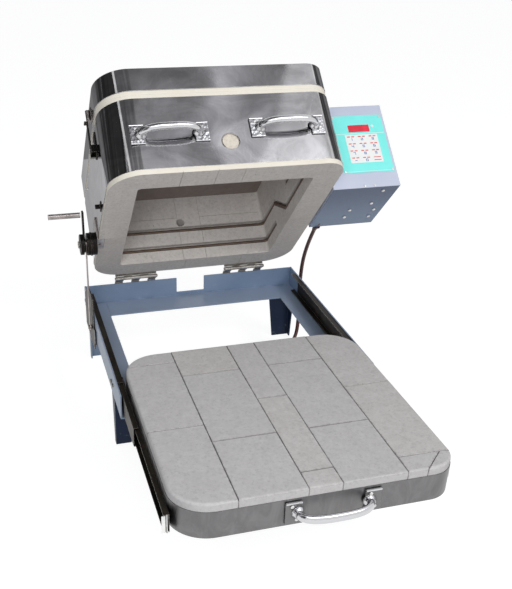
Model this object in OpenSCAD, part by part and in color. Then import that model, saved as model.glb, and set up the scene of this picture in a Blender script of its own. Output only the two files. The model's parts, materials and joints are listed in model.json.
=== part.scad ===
// Bead annealing kiln: hinged brick hood over a sliding brick tray on an angle-iron stand.
// X to the right, Y to the back, Z up, millimetres, floor at Z = 0.
// The hood is drawn closed and then swung open about its hinge line, the tray is drawn pulled out.

/* [Tray] */
// Width of tray and hood
tray_w = 495; // [400:1:600]
// Depth of the tray
tray_d = 508; // [400:1:600]
// Height of the tray top above the floor
tray_top = 215; // [150:1:260]
// Height of the brick slab with its pan
tray_h = 66.5; // [50:0.5:90]
// Brick left bare above the pan wall
tray_bare = 15.5; // [5:0.5:25]
// Front face of the pan when pulled out
tray_front = -666; // [-700:1:-500]
// Travel of the tray
travel = 398; // [200:1:420]

/* [Hood] */
// Depth of the hood
hood_d = 516; // [400:1:600]
// Full height of the hood
hood_h = 239.5; // [180:0.5:300]
// Height of the brick ring
ring_h = 178; // [120:0.5:220]
// Wall thickness of the brick ring
wall = 61.3; // [40:0.1:80]
// Outer corner radius
corner_r = 70; // [20:1:100]
// Sheet thickness of the shells
sheet = 1.2; // [0.8:0.1:2]
// Opening angle at rest
open_deg = 45.17; // [0:0.01:80]
// Lower edge of the ring shell
shell_lo = 10.6; // [4:0.1:20]
// Upper edge of the ring shell
shell_hi = 169.6; // [150:0.1:178]
// Lower edge of the lid shell
lid_lo = 187.2; // [178:0.1:200]

/* [Stand] */
// Outer width and depth of the stand
stand_w = 533; // [500:1:560]
// Thickness of the angle iron
iron = 3.2; // [2:0.1:5]
// Top of the rails
rail_top = 189.6; // [150:0.1:200]
// Height of the rails
rail_h = 53; // [30:1:70]
// Width of the side flanges
flange_w = 50.8; // [30:0.1:70]

/* [Pivots] */
// Hinge line, Y
hinge_y = 249.5; // [240:0.1:260]
// Hinge line, Z
hinge_z = 206.5; // [190:0.1:215]
// Hinge pin diameter
pin_d = 5; // [4:0.1:8]
// Radial running clearance
run = 0.05; // [0.02:0.01:0.1]
// Clamp bolt diameter
bolt_d = 10; // [8:0.1:14]
// Cord diameter
cord_d = 8; // [6:0.1:10]

/* [Hidden] */
$fn = 64;
half_w = tray_w / 2;
half_s = stand_w / 2;
hood_y0 = hinge_y - 2.5 - hood_d;
hood_z0 = tray_top + 0.8;
rail_bot = rail_top - rail_h;
web_in = half_s - iron;
notch_x = -37.5;
notch_w = 70;
notch_h = 35;
rear_flange = 76;
front_flange = 50;
skirt = 30;
leg_inset = 5;
leg_front_y = -146;
leg_rear_y = 255;
leg_top = 46;
leg_foot = 33;
wing_top = 34;
wing_foot = 12;
slide_len = 457;
slide_z = 143;
slide_h = 45;
gauge = 1.3;
nest = 2.5;
inner_in = 5.4;
tab_w = 13.2;
tab_t = 1.6;
outer_y0 = -238;
inner_y0 = outer_y0 - travel - 2;
mid_y0 = outer_y0 - travel / 2;
clamp_y = hood_y0 + 318;
clamp_z = hood_z0 + 2;
drum_r = 25;
bracket_lap = 13;
bracket_w = 52;
lever_x = -half_w - 35;
arm_x = -half_w - 27.8;
lever_tilt = open_deg - 3;

lid_step = 12.6;
peep = [4.3, 62];
peep_r = 17.5;
vent = [-23.5, 98];
vent_r = 10;
pull_reach = 34;
pull_r = 6.5;
pull_bow = 26;
plate_w = 30;
plate_h = 43;
grip_end = 113;
wire_r = 4;
wire_bend = 16;
groove_d = 12;
groove_h = 14;
chamber_r = 8;
wire_seat = 4.7;
high_z = 78;
low_z = 32;
slope_top = 340;
slope_foot = 270;
high_end = 238;
low_end = 355;
stay_len = 205;
slot_y = 164;
slot_lo = 130;
slot_hi = 192;
latch_y = 112;
latch_w = 26;
latch_z = 126;
knuckle = 20.2;
knuckle_r = 4.5;
leaf_t = 2;
leaf_h = 30;
hinge_x = [-141.5, 133];
box_x0 = 252.5;
box_w = 145;
box_y0 = hood_y0 + 98;
box_d = 182;
box_z0 = hood_z0 - 16;
box_h = 208;
box_t = 1.5;
panel_x = 273.5;
panel_z = hood_z0 + 24;
panel_w = 120;
panel_h = 141;
gland_x = 274.5;
gland_z = hood_z0 + 4;
blue = [0.40, 0.48, 0.60];
steel = [0.70, 0.71, 0.72];
chrome = [0.82, 0.83, 0.85];
brick = [0.80, 0.77, 0.72];
black = [0.10, 0.09, 0.09];
cord_red = [0.20, 0.08, 0.06];

// Middle of the space the kiln takes, from the grip end to the box and from the tray pull to the hood
rear_y = hinge_y - 2.5 * cos(open_deg) + (hood_z0 + hood_h - hinge_z) * sin(open_deg);
middle = [(box_x0 + box_w - half_w - grip_end) / 2, (rear_y + tray_front - pull_reach - pull_r) / 2, 0];

// The origin lies on the floor under the middle of the kiln as drawn.
module place() {
  translate(-middle) children();
}

// The hood's own frame: closed position, swung about the hinge line.
module hood() {
  translate([0, hinge_y, hinge_z]) rotate([-open_deg, 0, 0])
    translate([0, -hinge_y, -hinge_z]) children();
}

module rounded(w, d, h, r) {
  linear_extrude(h) round_outline(w, d, r);
}

module round_outline(w, d, r) {
  translate([r - w / 2, 0]) square([w - 2 * r, d]);
  translate([-w / 2, r]) square([w, d - 2 * r]);
  for (x = [r - w / 2, w / 2 - r], y = [r, d - r]) translate([x, y]) circle(r, $fn = 96);
}

// Stand

module side_rail(s) {
  x0 = s > 0 ? half_s - iron : -half_s;
  translate([x0, -half_s, rail_bot]) cube([iron, stand_w - iron, rail_h]);
  x1 = s > 0 ? half_s - flange_w : -half_s + iron;
  translate([x1, -half_s, rail_bot]) cube([flange_w - iron, stand_w - iron, iron]);
}
module rail_left() place() color(blue) side_rail(-1);
module rail_right() place() color(blue) side_rail(1);

module rail_rear() place() color(blue) {
  difference() {
    translate([-half_s, half_s - iron, rail_bot]) cube([stand_w, iron, rail_h]);
    translate([notch_x, half_s - iron - 1, rail_top - notch_h]) cube([notch_w, iron + 2, notch_h + 5]);
  }
  translate([-half_s + flange_w, half_s - rear_flange, rail_bot])
    cube([stand_w - 2 * flange_w, rear_flange - iron, iron]);
}

module rail_front() place() color(blue) {
  translate([-half_s + flange_w, -half_s, rail_bot]) cube([stand_w - 2 * flange_w, front_flange, iron]);
  translate([-half_s + flange_w, -half_s, rail_bot - skirt]) cube([stand_w - 2 * flange_w, iron, skirt]);
}

// A leg is a bent plate: one wing across, one wing along the rail, both narrower at the foot.
module leg(sx, y, back) {
  h = rail_bot;
  mirror([sx > 0 ? 1 : 0, 0, 0]) translate([-half_s + leg_inset, y, 0]) {
    rotate([90, 0, 0]) linear_extrude(iron) polygon([[0, h], [0, 0], [leg_foot, 0], [leg_top, h]]);
    translate([0, back ? 0 : -iron, 0]) mirror([0, back ? 0 : 1, 0]) rotate([90, 0, 90])
      linear_extrude(iron) polygon([[0, h], [0, 0], [wing_foot, 0], [wing_top, h]]);
  }
}
module leg_front_left() place() color(blue) leg(-1, leg_front_y, true);
module leg_front_right() place() color(blue) leg(1, leg_front_y, true);
module leg_rear_left() place() color(blue) leg(-1, leg_rear_y, false);
module leg_rear_right() place() color(blue) leg(1, leg_rear_y, false);

// Drawer slides: three nested channels on each side, written for the left side.

module channel(x_back, x_lip, z0, h, y0) {
  translate([x_back, y0, z0]) cube([gauge, slide_len, h]);
  for (z = [z0, z0 + h - gauge]) translate([x_back, y0, z]) cube([x_lip - x_back, slide_len, gauge]);
}
module outer_member() channel(-web_in, -web_in + 12.8, slide_z, slide_h, outer_y0);
module middle_member() channel(-web_in + nest, -web_in + 12.3, slide_z + nest, slide_h - 2 * nest, mid_y0);
module inner_member() mirror([1, 0, 0])
  channel(half_w, half_w + 10.4, slide_z + inner_in, slide_h - 2 * inner_in, inner_y0);
module tab() translate([-half_w - tab_w - 0.3, inner_y0 - tab_t, slide_z + 6])
  cube([tab_w, tab_t, slide_h - 12]);
module slide_outer_left() place() color(steel) outer_member();
module slide_outer_right() place() color(steel) mirror([1, 0, 0]) outer_member();
module slide_middle_left() place() color(steel) middle_member();
module slide_middle_right() place() color(steel) mirror([1, 0, 0]) middle_member();
module slide_inner_left() place() color(steel) inner_member();
module slide_inner_right() place() color(steel) mirror([1, 0, 0]) inner_member();
module slide_tab_left() place() color(chrome) tab();
module slide_tab_right() place() color(chrome) mirror([1, 0, 0]) tab();

// Tray

module tray_pan() place() color(steel) translate([0, tray_front, tray_top - tray_h]) difference() {
  rounded(tray_w, tray_d, tray_h - tray_bare, corner_r);
  translate([0, sheet, sheet]) rounded(tray_w - 2 * sheet, tray_d - 2 * sheet, tray_h, corner_r - sheet);
}
module tray_brick() place() color(brick) translate([0, tray_front + sheet, tray_top - tray_h + sheet])
  rounded(tray_w - 2 * sheet, tray_d - 2 * sheet, tray_h - sheet, corner_r - sheet);

// Cast pull: two plates and a bowed bar; front face of what carries it at Y = 0.
module pull(half, pad = 0) {
  foot = half - 22;
  for (s = [-1, 1]) {
    translate([s > 0 ? half - plate_w : -half, -4, -plate_h / 2]) cube([plate_w, 4 + pad, plate_h]);
    translate([s * foot, pull_bow - pull_reach, 0]) rotate([-90, 0, 0])
      cylinder(r = pull_r, h = pull_reach - pull_bow - 3, $fn = 32);
    translate([s * (foot - pull_bow), pull_bow - pull_reach, 0]) rotate([0, 0, s > 0 ? -90 : 180])
      rotate_extrude(angle = 90, $fn = 48) translate([pull_bow, 0]) circle(pull_r, $fn = 32);
  }
  translate([pull_bow - foot, -pull_reach, 0]) rotate([0, 90, 0])
    cylinder(r = pull_r, h = 2 * (foot - pull_bow), $fn = 32);
}
module tray_handle() place() color(chrome) translate([19.5, tray_front, tray_top - 41]) pull(85);

// Hood

module hood_frame() translate([0, hood_y0, hood_z0]) children();
// Along the hood's depth, at a place given by X and height above the rim.
module across(p, y) translate([p[0], y, p[1]]) rotate([-90, 0, 0]) children();

module ring_shell() place() color(steel) hood() hood_frame() difference() {
  translate([0, 0, shell_lo]) rounded(tray_w, hood_d, shell_hi - shell_lo, corner_r);
  translate([0, sheet, 0]) rounded(tray_w - 2 * sheet, hood_d - 2 * sheet, hood_h, corner_r - sheet);
  across(peep, -5) cylinder(r = peep_r + 1, h = 20, $fn = 64);
  across(vent, hood_d - 10) cylinder(r = vent_r + 2, h = 20, $fn = 48);
}

// Grooves for the wire: two turns, joined by a slope on the right wall and each open up to its end.
module groove(z, gap_from, gap_to) difference() {
  translate([0, wall - groove_d, z])
    rounded(tray_w - 2 * (wall - groove_d), hood_d - 2 * (wall - groove_d), groove_h, chamber_r);
  translate([half_w - wall - 5, gap_from, z - 1]) cube([groove_d + 8, gap_to - gap_from, groove_h + 2]);
}
module ring_brick() place() color(brick) hood() hood_frame() difference() {
  translate([0, sheet, 0]) rounded(tray_w - 2 * sheet, hood_d - 2 * sheet, ring_h, corner_r - sheet);
  translate([0, wall, -1]) rounded(tray_w - 2 * wall, hood_d - 2 * wall, ring_h + 2, chamber_r);
  groove(low_z - wire_seat, slope_foot + 5, low_end);
  groove(high_z - wire_seat, high_end, slope_top - 5);
  translate([half_w - wall - 5, slope_foot, low_z - wire_seat + groove_h / 2])
    rotate([atan2(high_z - low_z, slope_top - slope_foot), 0, 0]) translate([0, -2, -groove_h / 2])
      cube([groove_d + 4.5, norm([high_z - low_z, slope_top - slope_foot]) + 4, groove_h]);
  across(peep, -1) cylinder(r = peep_r + 0.3, h = wall + 10, $fn = 64);
  across(vent, hood_d - wall - 15) cylinder(r = vent_r, h = wall + 20, $fn = 48);
  translate([-half_w - 1, clamp_y - hood_y0 - bracket_w / 2 - 0.5, -1])
    cube([bracket_lap + 1.5, bracket_w + 1, 3.4]);
}

// The peephole's plug draws out to the front.
module peephole_plug() place() color(brick) hood() hood_frame()
  across(peep, 1.5) cylinder(r = peep_r, h = wall - groove_d - 2.3, $fn = 64);

// The lid brick steps down into the chamber.
module lid_brick() place() color(brick) hood() hood_frame() {
  translate([0, sheet, ring_h])
    rounded(tray_w - 2 * sheet, hood_d - 2 * sheet, hood_h - sheet - ring_h, corner_r - sheet);
  translate([0, wall + 0.5, ring_h - lid_step])
    rounded(tray_w - 2 * wall - 1, hood_d - 2 * wall - 1, lid_step + 1, 7);
}

module lid_shell() place() color(steel) hood() hood_frame() difference() {
  translate([0, 0, lid_lo]) rounded(tray_w, hood_d, hood_h - lid_lo, corner_r);
  translate([0, sheet, lid_lo - 1])
    rounded(tray_w - 2 * sheet, hood_d - 2 * sheet, hood_h - lid_lo + 1 - sheet, corner_r - sheet);
}

// The hood's pulls are ground to the shell where they reach its rounded corners.
module hood_pull(x, z) hood() hood_frame() difference() {
  translate([x, 0, z]) pull(80, 9);
  rounded(tray_w, hood_d, hood_h, corner_r);
}
module handle_left() place() color(chrome) hood_pull(-117, 86);
module handle_right() place() color(chrome) hood_pull(129, 89);

// The heating wire, in two nodes that meet half way down the slope.
wire_x = half_w - wall + wire_r;
module wire(a, b) translate(a) rotate([0, acos((b - a)[2] / norm(b - a)), atan2((b - a)[1], (b - a)[0])])
  cylinder(r = wire_r, h = norm(b - a), $fn = 24);
module bead(p) translate(p) sphere(wire_r + 0.6, $fn = 24);
module turn(z, gap_from, gap_to) {
  front = wall - wire_r;
  back = hood_d - wall + wire_r;
  for (y = [front, back]) wire([wire_bend - wire_x, y, z], [wire_x - wire_bend, y, z]);
  wire([-wire_x, front + wire_bend, z], [-wire_x, back - wire_bend, z]);
  wire([wire_x, front + wire_bend, z], [wire_x, gap_from, z]);
  wire([wire_x, gap_to, z], [wire_x, back - wire_bend, z]);
  for (s = [-1, 1], e = [0, 1])
    translate([s * (wire_x - wire_bend), e > 0 ? back - wire_bend : front + wire_bend, z]) rotate([0, 0, s > 0 ? (e > 0 ? 0 : -90) : (e > 0 ? 90 : 180)])
      rotate_extrude(angle = 90, $fn = 32) translate([wire_bend, 0]) circle(wire_r, $fn = 24);
}
slope_mid = [wire_x, (slope_top + slope_foot) / 2, (high_z + low_z) / 2];
module element_lower() place() color(steel) hood() hood_frame() {
  turn(low_z, slope_foot, low_end + 5);
  bead([wire_x, slope_foot, low_z]);
  wire([wire_x, slope_foot, low_z], slope_mid);
}
module element_upper() place() color(steel) hood() hood_frame() {
  turn(high_z, high_end - 5, slope_top);
  bead([wire_x, slope_top, high_z]);
  wire([wire_x, slope_top, high_z], slope_mid);
}

// Butt hinges: five knuckles, the outer and middle ones on the stand leaf.

module knuckles(x, list) {
  for (i = list) translate([x - 2.5 * knuckle + i * knuckle + 0.15, hinge_y, hinge_z])
    rotate([0, 90, 0]) cylinder(r = knuckle_r, h = knuckle - 0.3, $fn = 40);
}
module bore(x) translate([x - 60, hinge_y, hinge_z]) rotate([0, 90, 0])
  cylinder(r = pin_d / 2 + run, h = 120, $fn = 40);

module hinge_lower(x) difference() {
  union() {
    knuckles(x, [0, 2, 4]);
    for (i = [0, 2, 4]) translate([x - 2.5 * knuckle + i * knuckle + 0.15, 0, 0]) rotate([90, 0, 90])
      linear_extrude(knuckle - 0.3) polygon([
        [hinge_y - 1.2, hinge_z - 4.2], [hinge_y + 4.2, hinge_z - 1.2], [half_s + 2, rail_top - 1],
        [half_s + 2, rail_top - 6], [half_s, rail_top - 6], [half_s, rail_top + 0.6]]);
    translate([x - 2.5 * knuckle, half_s, rail_top - 4 - leaf_h]) cube([5 * knuckle, leaf_t, leaf_h]);
  }
  bore(x);
}
module hinge_upper(x) hood() difference() {
  union() {
    knuckles(x, [1, 3]);
    for (i = [1, 3]) translate([x - 2.5 * knuckle + i * knuckle + 0.15, hinge_y - 2.5, hinge_z])
      cube([knuckle - 0.3, leaf_t, 12]);
    translate([x - 2.5 * knuckle, hinge_y - 2.5, hinge_z + 11]) cube([5 * knuckle, leaf_t, leaf_h + 2]);
  }
  bore(x);
}
module hinge_pin(x) {
  translate([x - 2.5 * knuckle - 1, hinge_y, hinge_z]) rotate([0, 90, 0])
    cylinder(r = pin_d / 2, h = 5 * knuckle + 2, $fn = 40);
  for (s = [-1, 1]) translate([x + s * (2.5 * knuckle + 1.2) - 0.8, hinge_y, hinge_z])
    rotate([0, 90, 0]) cylinder(r = 3.6, h = 1.6, $fn = 32);
}
module hinge_lower_left() place() color(steel) hinge_lower(hinge_x[0]);
module hinge_lower_right() place() color(steel) hinge_lower(hinge_x[1]);
module hinge_upper_left() place() color(steel) hinge_upper(hinge_x[0]);
module hinge_upper_right() place() color(steel) hinge_upper(hinge_x[1]);
module hinge_pin_left() place() color(steel) hinge_pin(hinge_x[0]);
module hinge_pin_right() place() color(steel) hinge_pin(hinge_x[1]);

// Friction clamp on the left of the hood: bracket, bolt, two drum halves, lever and stay arm.

module clamp_at(x) translate([x, clamp_y, clamp_z]) rotate([0, 90, 0]) children();
module clamp_bore(x, h) clamp_at(x) cylinder(r = bolt_d / 2 + run, h = h, $fn = 48);

// Angle bracket with a short leg let into the rim.
module stay_bracket() place() color(steel) hood() difference() {
  union() {
    translate([-half_w - iron, clamp_y - bracket_w / 2, hood_z0 + 0.2]) cube([iron, bracket_w, 54]);
    translate([-half_w - iron, clamp_y - bracket_w / 2, hood_z0 + 0.2])
      cube([iron + bracket_lap, bracket_w, 2]);
  }
  clamp_bore(-half_w - 6, 12);
}
module clamp_bolt() place() color(steel) hood() {
  clamp_at(-half_w - 47) cylinder(r = bolt_d / 2, h = 46.8, $fn = 48);
  clamp_at(-half_w - 50) cylinder(r = 8.5, h = 3, $fn = 6);
}
module drum(x, h, r) difference() {
  clamp_at(x) cylinder(r = r, h = h, $fn = 72);
  clamp_bore(x - 1, h + 2);
}
module drum_inner() place() color(black) hood() {
  drum(-half_w - 24.6, 21.2, drum_r);
  drum(-half_w - 17, 3, drum_r + 1.5);
}
module drum_outer() place() color(black) hood() drum(-half_w - 43, 7.8, drum_r - 2);

module clamp_lever() place() color(black) difference() {
  union() {
    hood() clamp_at(lever_x) cylinder(r = 18, h = 4, $fn = 64);
    hood() translate([lever_x, clamp_y, clamp_z]) rotate([lever_tilt, 0, 0])
      translate([0, -7, 10]) cube([4, 14, 66]);
  }
  hood() clamp_bore(lever_x - 1, 8);
}
module lever_grip() place() color(steel) hood() translate([0, clamp_y, clamp_z]) rotate([lever_tilt, 0, 0])
  translate([-half_w - grip_end, 0, 68]) rotate([0, 90, 0]) cylinder(r = 6, h = 77.8, $fn = 40);

// The arm hangs straight down from the bolt to a shouldered stud.
module hanging(x) hood() translate([x, clamp_y, clamp_z]) rotate([open_deg, 0, 0]) children();
module stay_arm() place() color(steel) hanging(arm_x) rotate([90, 0, 90])
  linear_extrude(3) difference() {
    union() {
      circle(11);
      translate([-4, -stay_len]) square([8, stay_len]);
      translate([0, -stay_len]) circle(7);
    }
    circle(bolt_d / 2 + run);
    translate([0, -stay_len]) circle(3.1);
  }
module stay_foot_bolt() place() color(steel) hanging(arm_x)
  translate([0, 0, -stay_len]) rotate([0, 90, 0]) {
    translate([0, 0, -3.4]) cylinder(r = 5.4, h = 3.4, $fn = 6);
    cylinder(r = 3, h = 4, $fn = 32);
    translate([0, 0, 3]) cylinder(r = 5, h = 2.2, $fn = 32);
  }

// Slotted plate on the outside of the left rail.
module guide_plate() place() color(steel) difference() {
  translate([-half_s - 3, 0, 0]) rotate([90, 0, 90]) linear_extrude(3)
    polygon([[88, 82], [88, 232], [165, 232], [230, 190], [230, 82]]);
  translate([-half_s - 4, slot_y - 4, slot_lo]) cube([5, 8, slot_hi - slot_lo]);
  for (z = [slot_lo, slot_hi]) translate([-half_s - 4, slot_y, z])
    rotate([0, 90, 0]) cylinder(r = 4, h = 5, $fn = 32);
}
module guide_clip() place() color(black) difference() {
  translate([-half_s - 3, 68, 128]) cube([3, 20, 34]);
  translate([-half_s - 4, 78, 136]) rotate([0, 90, 0]) cylinder(r = 3, h = 6, $fn = 32);
}

// Over-centre latch between ring and lid on the left side.
module latch_base() place() color(black) hood() hood_frame() {
  translate([-half_w - 2, latch_y, latch_z - 14]) cube([2, latch_w, 52]);
  for (y = [latch_y, latch_y + latch_w - 3]) translate([-half_w - 12, y, latch_z - 8]) cube([11, 3, 16]);
}
module latch_strike() place() color(steel) hood() hood_frame() {
  translate([-half_w - 2, latch_y + 2, latch_z + 70]) cube([2, latch_w - 4, 28]);
  translate([-half_w - 6.5, latch_y + latch_w / 2, latch_z + 72]) cylinder(r = 5, h = 24, $fn = 32);
}
module latch_lever() place() color(black) hood() hood_frame() {
  translate([-half_w - 9, latch_y + 3.2, latch_z]) rotate([-90, 0, 0])
    cylinder(r = 3.2, h = latch_w - 6.4, $fn = 32);
  translate([-half_w - 12.2, latch_y + 7, latch_z]) cube([3, 12, 68]);
  translate([-half_w - 17, latch_y + 7, latch_z + 65]) cube([5, 12, 3]);
}

// Control box on the right of the hood, on two spacer rails.
module control_box() place() color(blue) hood() difference() {
  translate([box_x0, box_y0, box_z0]) cube([box_w, box_d, box_h]);
  translate([box_x0 + box_t, box_y0 + box_t, box_z0 + box_t])
    cube([box_w - 2 * box_t, box_d - 2 * box_t, box_h - 2 * box_t]);
}
module box_mounts() place() color(steel) hood() for (y = [30, 130])
  translate([half_w, box_y0 + y, box_z0 + 40]) cube([box_x0 - half_w, 20, 140]);
module control_panel() place() color([0.55, 0.80, 0.82]) hood()
  translate([panel_x, box_y0 - 1, panel_z]) cube([panel_w, 1, panel_h]);
module display_window() place() color([0.35, 0.02, 0.02]) hood()
  translate([panel_x + 34.5, box_y0 - 2, panel_z + 100.5]) cube([50, 1, 17.5]);
module keypad() place() color([0.92, 0.92, 0.92]) hood()
  translate([panel_x + 22.5, box_y0 - 1.8, panel_z + 24]) cube([77, 0.8, 70]);

// Mains cord

function unit(v) = v / norm(v);
function tangent(p, i) = let(n = len(p) - 1)
  unit(i == 0 ? p[1] - p[0] : i == n ? p[n] - p[n - 1] : unit(p[i + 1] - p[i]) + unit(p[i] - p[i - 1]));
function normals(p, v, i = 0, acc = []) = i == len(p) ? acc :
  let(t = tangent(p, i), m = unit(v - t * (v * t))) normals(p, m, i + 1, concat(acc, [m]));
module sweep(p, r, k, v0) {
  ms = normals(p, v0);
  pts = [for (i = [0 : len(p) - 1]) let(t = tangent(p, i), b = cross(t, ms[i]))
    for (j = [0 : k - 1]) p[i] + r * (cos(360 * j / k) * ms[i] + sin(360 * j / k) * b)];
  n = len(p);
  polyhedron(points = pts, convexity = 10, faces = concat(
    [[for (j = [0 : k - 1]) j]],
    [for (i = [0 : n - 2], j = [0 : k - 1]) [(i + 1) * k + j, (i + 1) * k + (j + 1) % k, i * k + j]],
    [for (i = [0 : n - 2], j = [0 : k - 1]) [(i + 1) * k + (j + 1) % k, i * k + (j + 1) % k, i * k + j]],
    [[for (j = [0 : k - 1]) (n - 1) * k + k - 1 - j]]));
}
function spline(q, n) = concat([for (s = [0 : len(q) - 2], j = [0 : n - 1])
  let(a = q[max(s - 1, 0)], b = q[s], c = q[s + 1], d = q[min(s + 2, len(q) - 1)], t = j / n)
  0.5 * (2 * b + (c - a) * t + (2 * a - 5 * b + 4 * c - d) * t * t
    + (3 * b - a - 3 * c + d) * t * t * t)], [q[len(q) - 1]]);

gland_tip = 26;
gland_p = [gland_x, box_y0 + box_d + gland_tip, gland_z];
module cord_gland() place() color(black) hood() translate([gland_x, box_y0 + box_d, gland_z])
  rotate([-90, 0, 0]) {
    cylinder(r = 10, h = 4, $fn = 6);
    cylinder(r1 = 8, r2 = 5, h = gland_tip, $fn = 40);
  }

// The spare cord: loops spiral in on the floor, climb a layer in half a turn and spiral out again.
lie = cord_d / 2 + 0.1;
coil_c = [69, 56, lie];
coil_r = 54;
coil_pitch = 8.6;
coil_layer = 8.5;
coil_turns = 4;
coil_a0 = 100;
coil_end = 360 * coil_turns;
coil_run = [-sin(coil_a0), cos(coil_a0), 0];
function climb(u) = u <= 0 ? 0 : u >= 1 ? 1 : u * u * (3 - 2 * u);
function coil_at(a) = let(r = coil_r - coil_pitch * min(a, coil_end - a) / 360)
  coil_c + [r * cos(coil_a0 + a), r * sin(coil_a0 + a),
            coil_layer * climb((a - coil_end / 2 + 90) / 180)];
coil_start = coil_at(0);
coil_pts = concat([coil_start - 8 * coil_run], [for (a = [0 : 15 : coil_end]) coil_at(a)],
  [coil_at(coil_end) + 10 * coil_run, coil_at(coil_end) + 18 * coil_run]);
// The lead hangs from the gland to the floor and runs under the tray to the coil.
function swung(p) = let(y = p[1] - hinge_y, z = p[2] - hinge_z)
  [p[0], hinge_y + y * cos(open_deg) + z * sin(open_deg),
   hinge_z - y * sin(open_deg) + z * cos(open_deg)];
lead_pts = [swung(gland_p + [0, 6, 0]), [276, 137, 343], [277, 184, 279],
  [278, 213, 224], [278, 224, 170], [277, 223, 110], [274, 214, 55], [262, 198, 20], [236, 178, 6],
  [196, 152, lie], [150, 132, lie], [104, 119, lie], coil_start - 14 * coil_run];
lead_path = concat([swung(gland_p)], spline(lead_pts, 5), [coil_start - 8 * coil_run]);
module cord_lead() place() color(cord_red)
  sweep(lead_path, cord_d / 2, 10, [1, 0, 0]);

module cord_coil() place() color(cord_red) sweep(coil_pts, cord_d / 2, 6, [0, 0, 1]);

// Least gap of the coil to itself, between points more than half a turn apart.
echo(coil_gap = min([for (a = [0 : 15 : coil_end - 180], b = [a + 180 : 15 : coil_end])
  norm(coil_at(a) - coil_at(b))]) - cord_d);
function run_length(p) = [for (i = [1 : len(p) - 1]) norm(p[i] - p[i - 1])] * [for (i = [2 : len(p)]) 1];
echo(cord_length = run_length(lead_path) + run_length(coil_pts));

module cord_plug() place() color(cord_red) translate(coil_pts[len(coil_pts) - 1])
  rotate([0, 0, coil_a0 + 90]) rotate([0, 90, 0]) {
    cylinder(r1 = 5, r2 = 6.5, h = 16, $fn = 32);
    translate([0, 0, 16]) cylinder(r = 12, h = 34, $fn = 48);
    for (y = [-6, 6]) translate([-3.2, y - 0.75, 50]) cube([6.4, 1.5, 17]);
    translate([-7, 0, 50]) cylinder(r = 2.3, h = 19, $fn = 24);
  }

rail_left();
rail_right();
rail_rear();
rail_front();
leg_front_left();
leg_front_right();
leg_rear_left();
leg_rear_right();
slide_outer_left();
slide_outer_right();
slide_middle_left();
slide_middle_right();
slide_inner_left();
slide_inner_right();
slide_tab_left();
slide_tab_right();
tray_pan();
tray_brick();
tray_handle();
ring_shell();
ring_brick();
lid_brick();
lid_shell();
peephole_plug();
handle_left();
handle_right();
element_lower();
element_upper();
hinge_lower_left();
hinge_lower_right();
hinge_upper_left();
hinge_upper_right();
hinge_pin_left();
hinge_pin_right();
stay_bracket();
clamp_bolt();
drum_inner();
drum_outer();
clamp_lever();
lever_grip();
stay_arm();
stay_foot_bolt();
guide_plate();
guide_clip();
latch_base();
latch_strike();
latch_lever();
control_box();
box_mounts();
control_panel();
display_window();
keypad();
cord_gland();
cord_lead();
cord_coil();
cord_plug();
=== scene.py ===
import json
import math
import random

import bmesh
import bpy
from mathutils import Matrix, Vector


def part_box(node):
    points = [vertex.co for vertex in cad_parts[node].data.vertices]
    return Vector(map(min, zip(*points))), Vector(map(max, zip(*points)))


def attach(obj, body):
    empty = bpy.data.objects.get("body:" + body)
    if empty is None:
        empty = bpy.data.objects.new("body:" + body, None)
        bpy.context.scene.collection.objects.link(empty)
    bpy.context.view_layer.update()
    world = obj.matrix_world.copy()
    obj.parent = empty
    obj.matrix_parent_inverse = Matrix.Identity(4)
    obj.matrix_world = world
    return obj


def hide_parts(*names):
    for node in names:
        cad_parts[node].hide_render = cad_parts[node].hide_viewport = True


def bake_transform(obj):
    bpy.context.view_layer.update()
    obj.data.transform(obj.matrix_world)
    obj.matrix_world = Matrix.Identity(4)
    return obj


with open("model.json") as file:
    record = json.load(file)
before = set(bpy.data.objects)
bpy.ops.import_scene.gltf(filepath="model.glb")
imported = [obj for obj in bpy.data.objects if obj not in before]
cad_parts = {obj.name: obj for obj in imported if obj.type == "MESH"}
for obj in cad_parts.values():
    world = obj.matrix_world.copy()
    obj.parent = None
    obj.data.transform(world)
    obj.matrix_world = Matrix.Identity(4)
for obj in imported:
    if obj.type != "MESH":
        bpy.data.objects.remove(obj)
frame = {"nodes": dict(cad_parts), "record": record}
NODES = frame["nodes"]
BODY = {n: b for b, ns in frame["record"]["behaviour"]["bodies"].items() for n in ns}
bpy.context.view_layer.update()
random.seed(11)

# Measures of the kiln, metres. Drawing coordinates: X 0 in the middle of the tray, Y 0 near the
# middle of the stand, both moved by ORIGIN into the shared frame.
TRAY_W, TRAY_D, TRAY_TOP, TRAY_H, BARE = 0.495, 0.508, 0.215, 0.0665, 0.0155
CORNER, SHEET, WALL = 0.070, 0.0012, 0.0613
HOOD_D, HOOD_H, RING_H, RIM_Z = 0.516, 0.2395, 0.178, 0.2158
HINGE_Y, HINGE_Z = 0.2495, 0.2065
OPEN = math.radians(45.17)
pan_low, pan_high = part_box("tray_pan")
TRAY_FRONT = -0.666
ORIGIN = Vector((-TRAY_W / 2 - pan_low.x, TRAY_FRONT - pan_low.y, 0))
HALF = TRAY_W / 2
RIGHT_CORNER, CREEP = 0.048, 0.004
HOOD_Y0 = HINGE_Y - 0.0025 - HOOD_D

# The hood's own frame: X across, Y from its front face, Z from its rim.
HOOD = (Matrix.Translation(Vector((0, HINGE_Y, HINGE_Z)) - ORIGIN) @ Matrix.Rotation(-OPEN, 4, "X")
        @ Matrix.Translation((0, HOOD_Y0 - HINGE_Y, RIM_Z - HINGE_Z)))
DRAWN = Matrix.Translation(-ORIGIN)
TRAY = DRAWN @ Matrix.Translation((0, TRAY_FRONT, 0))


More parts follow.
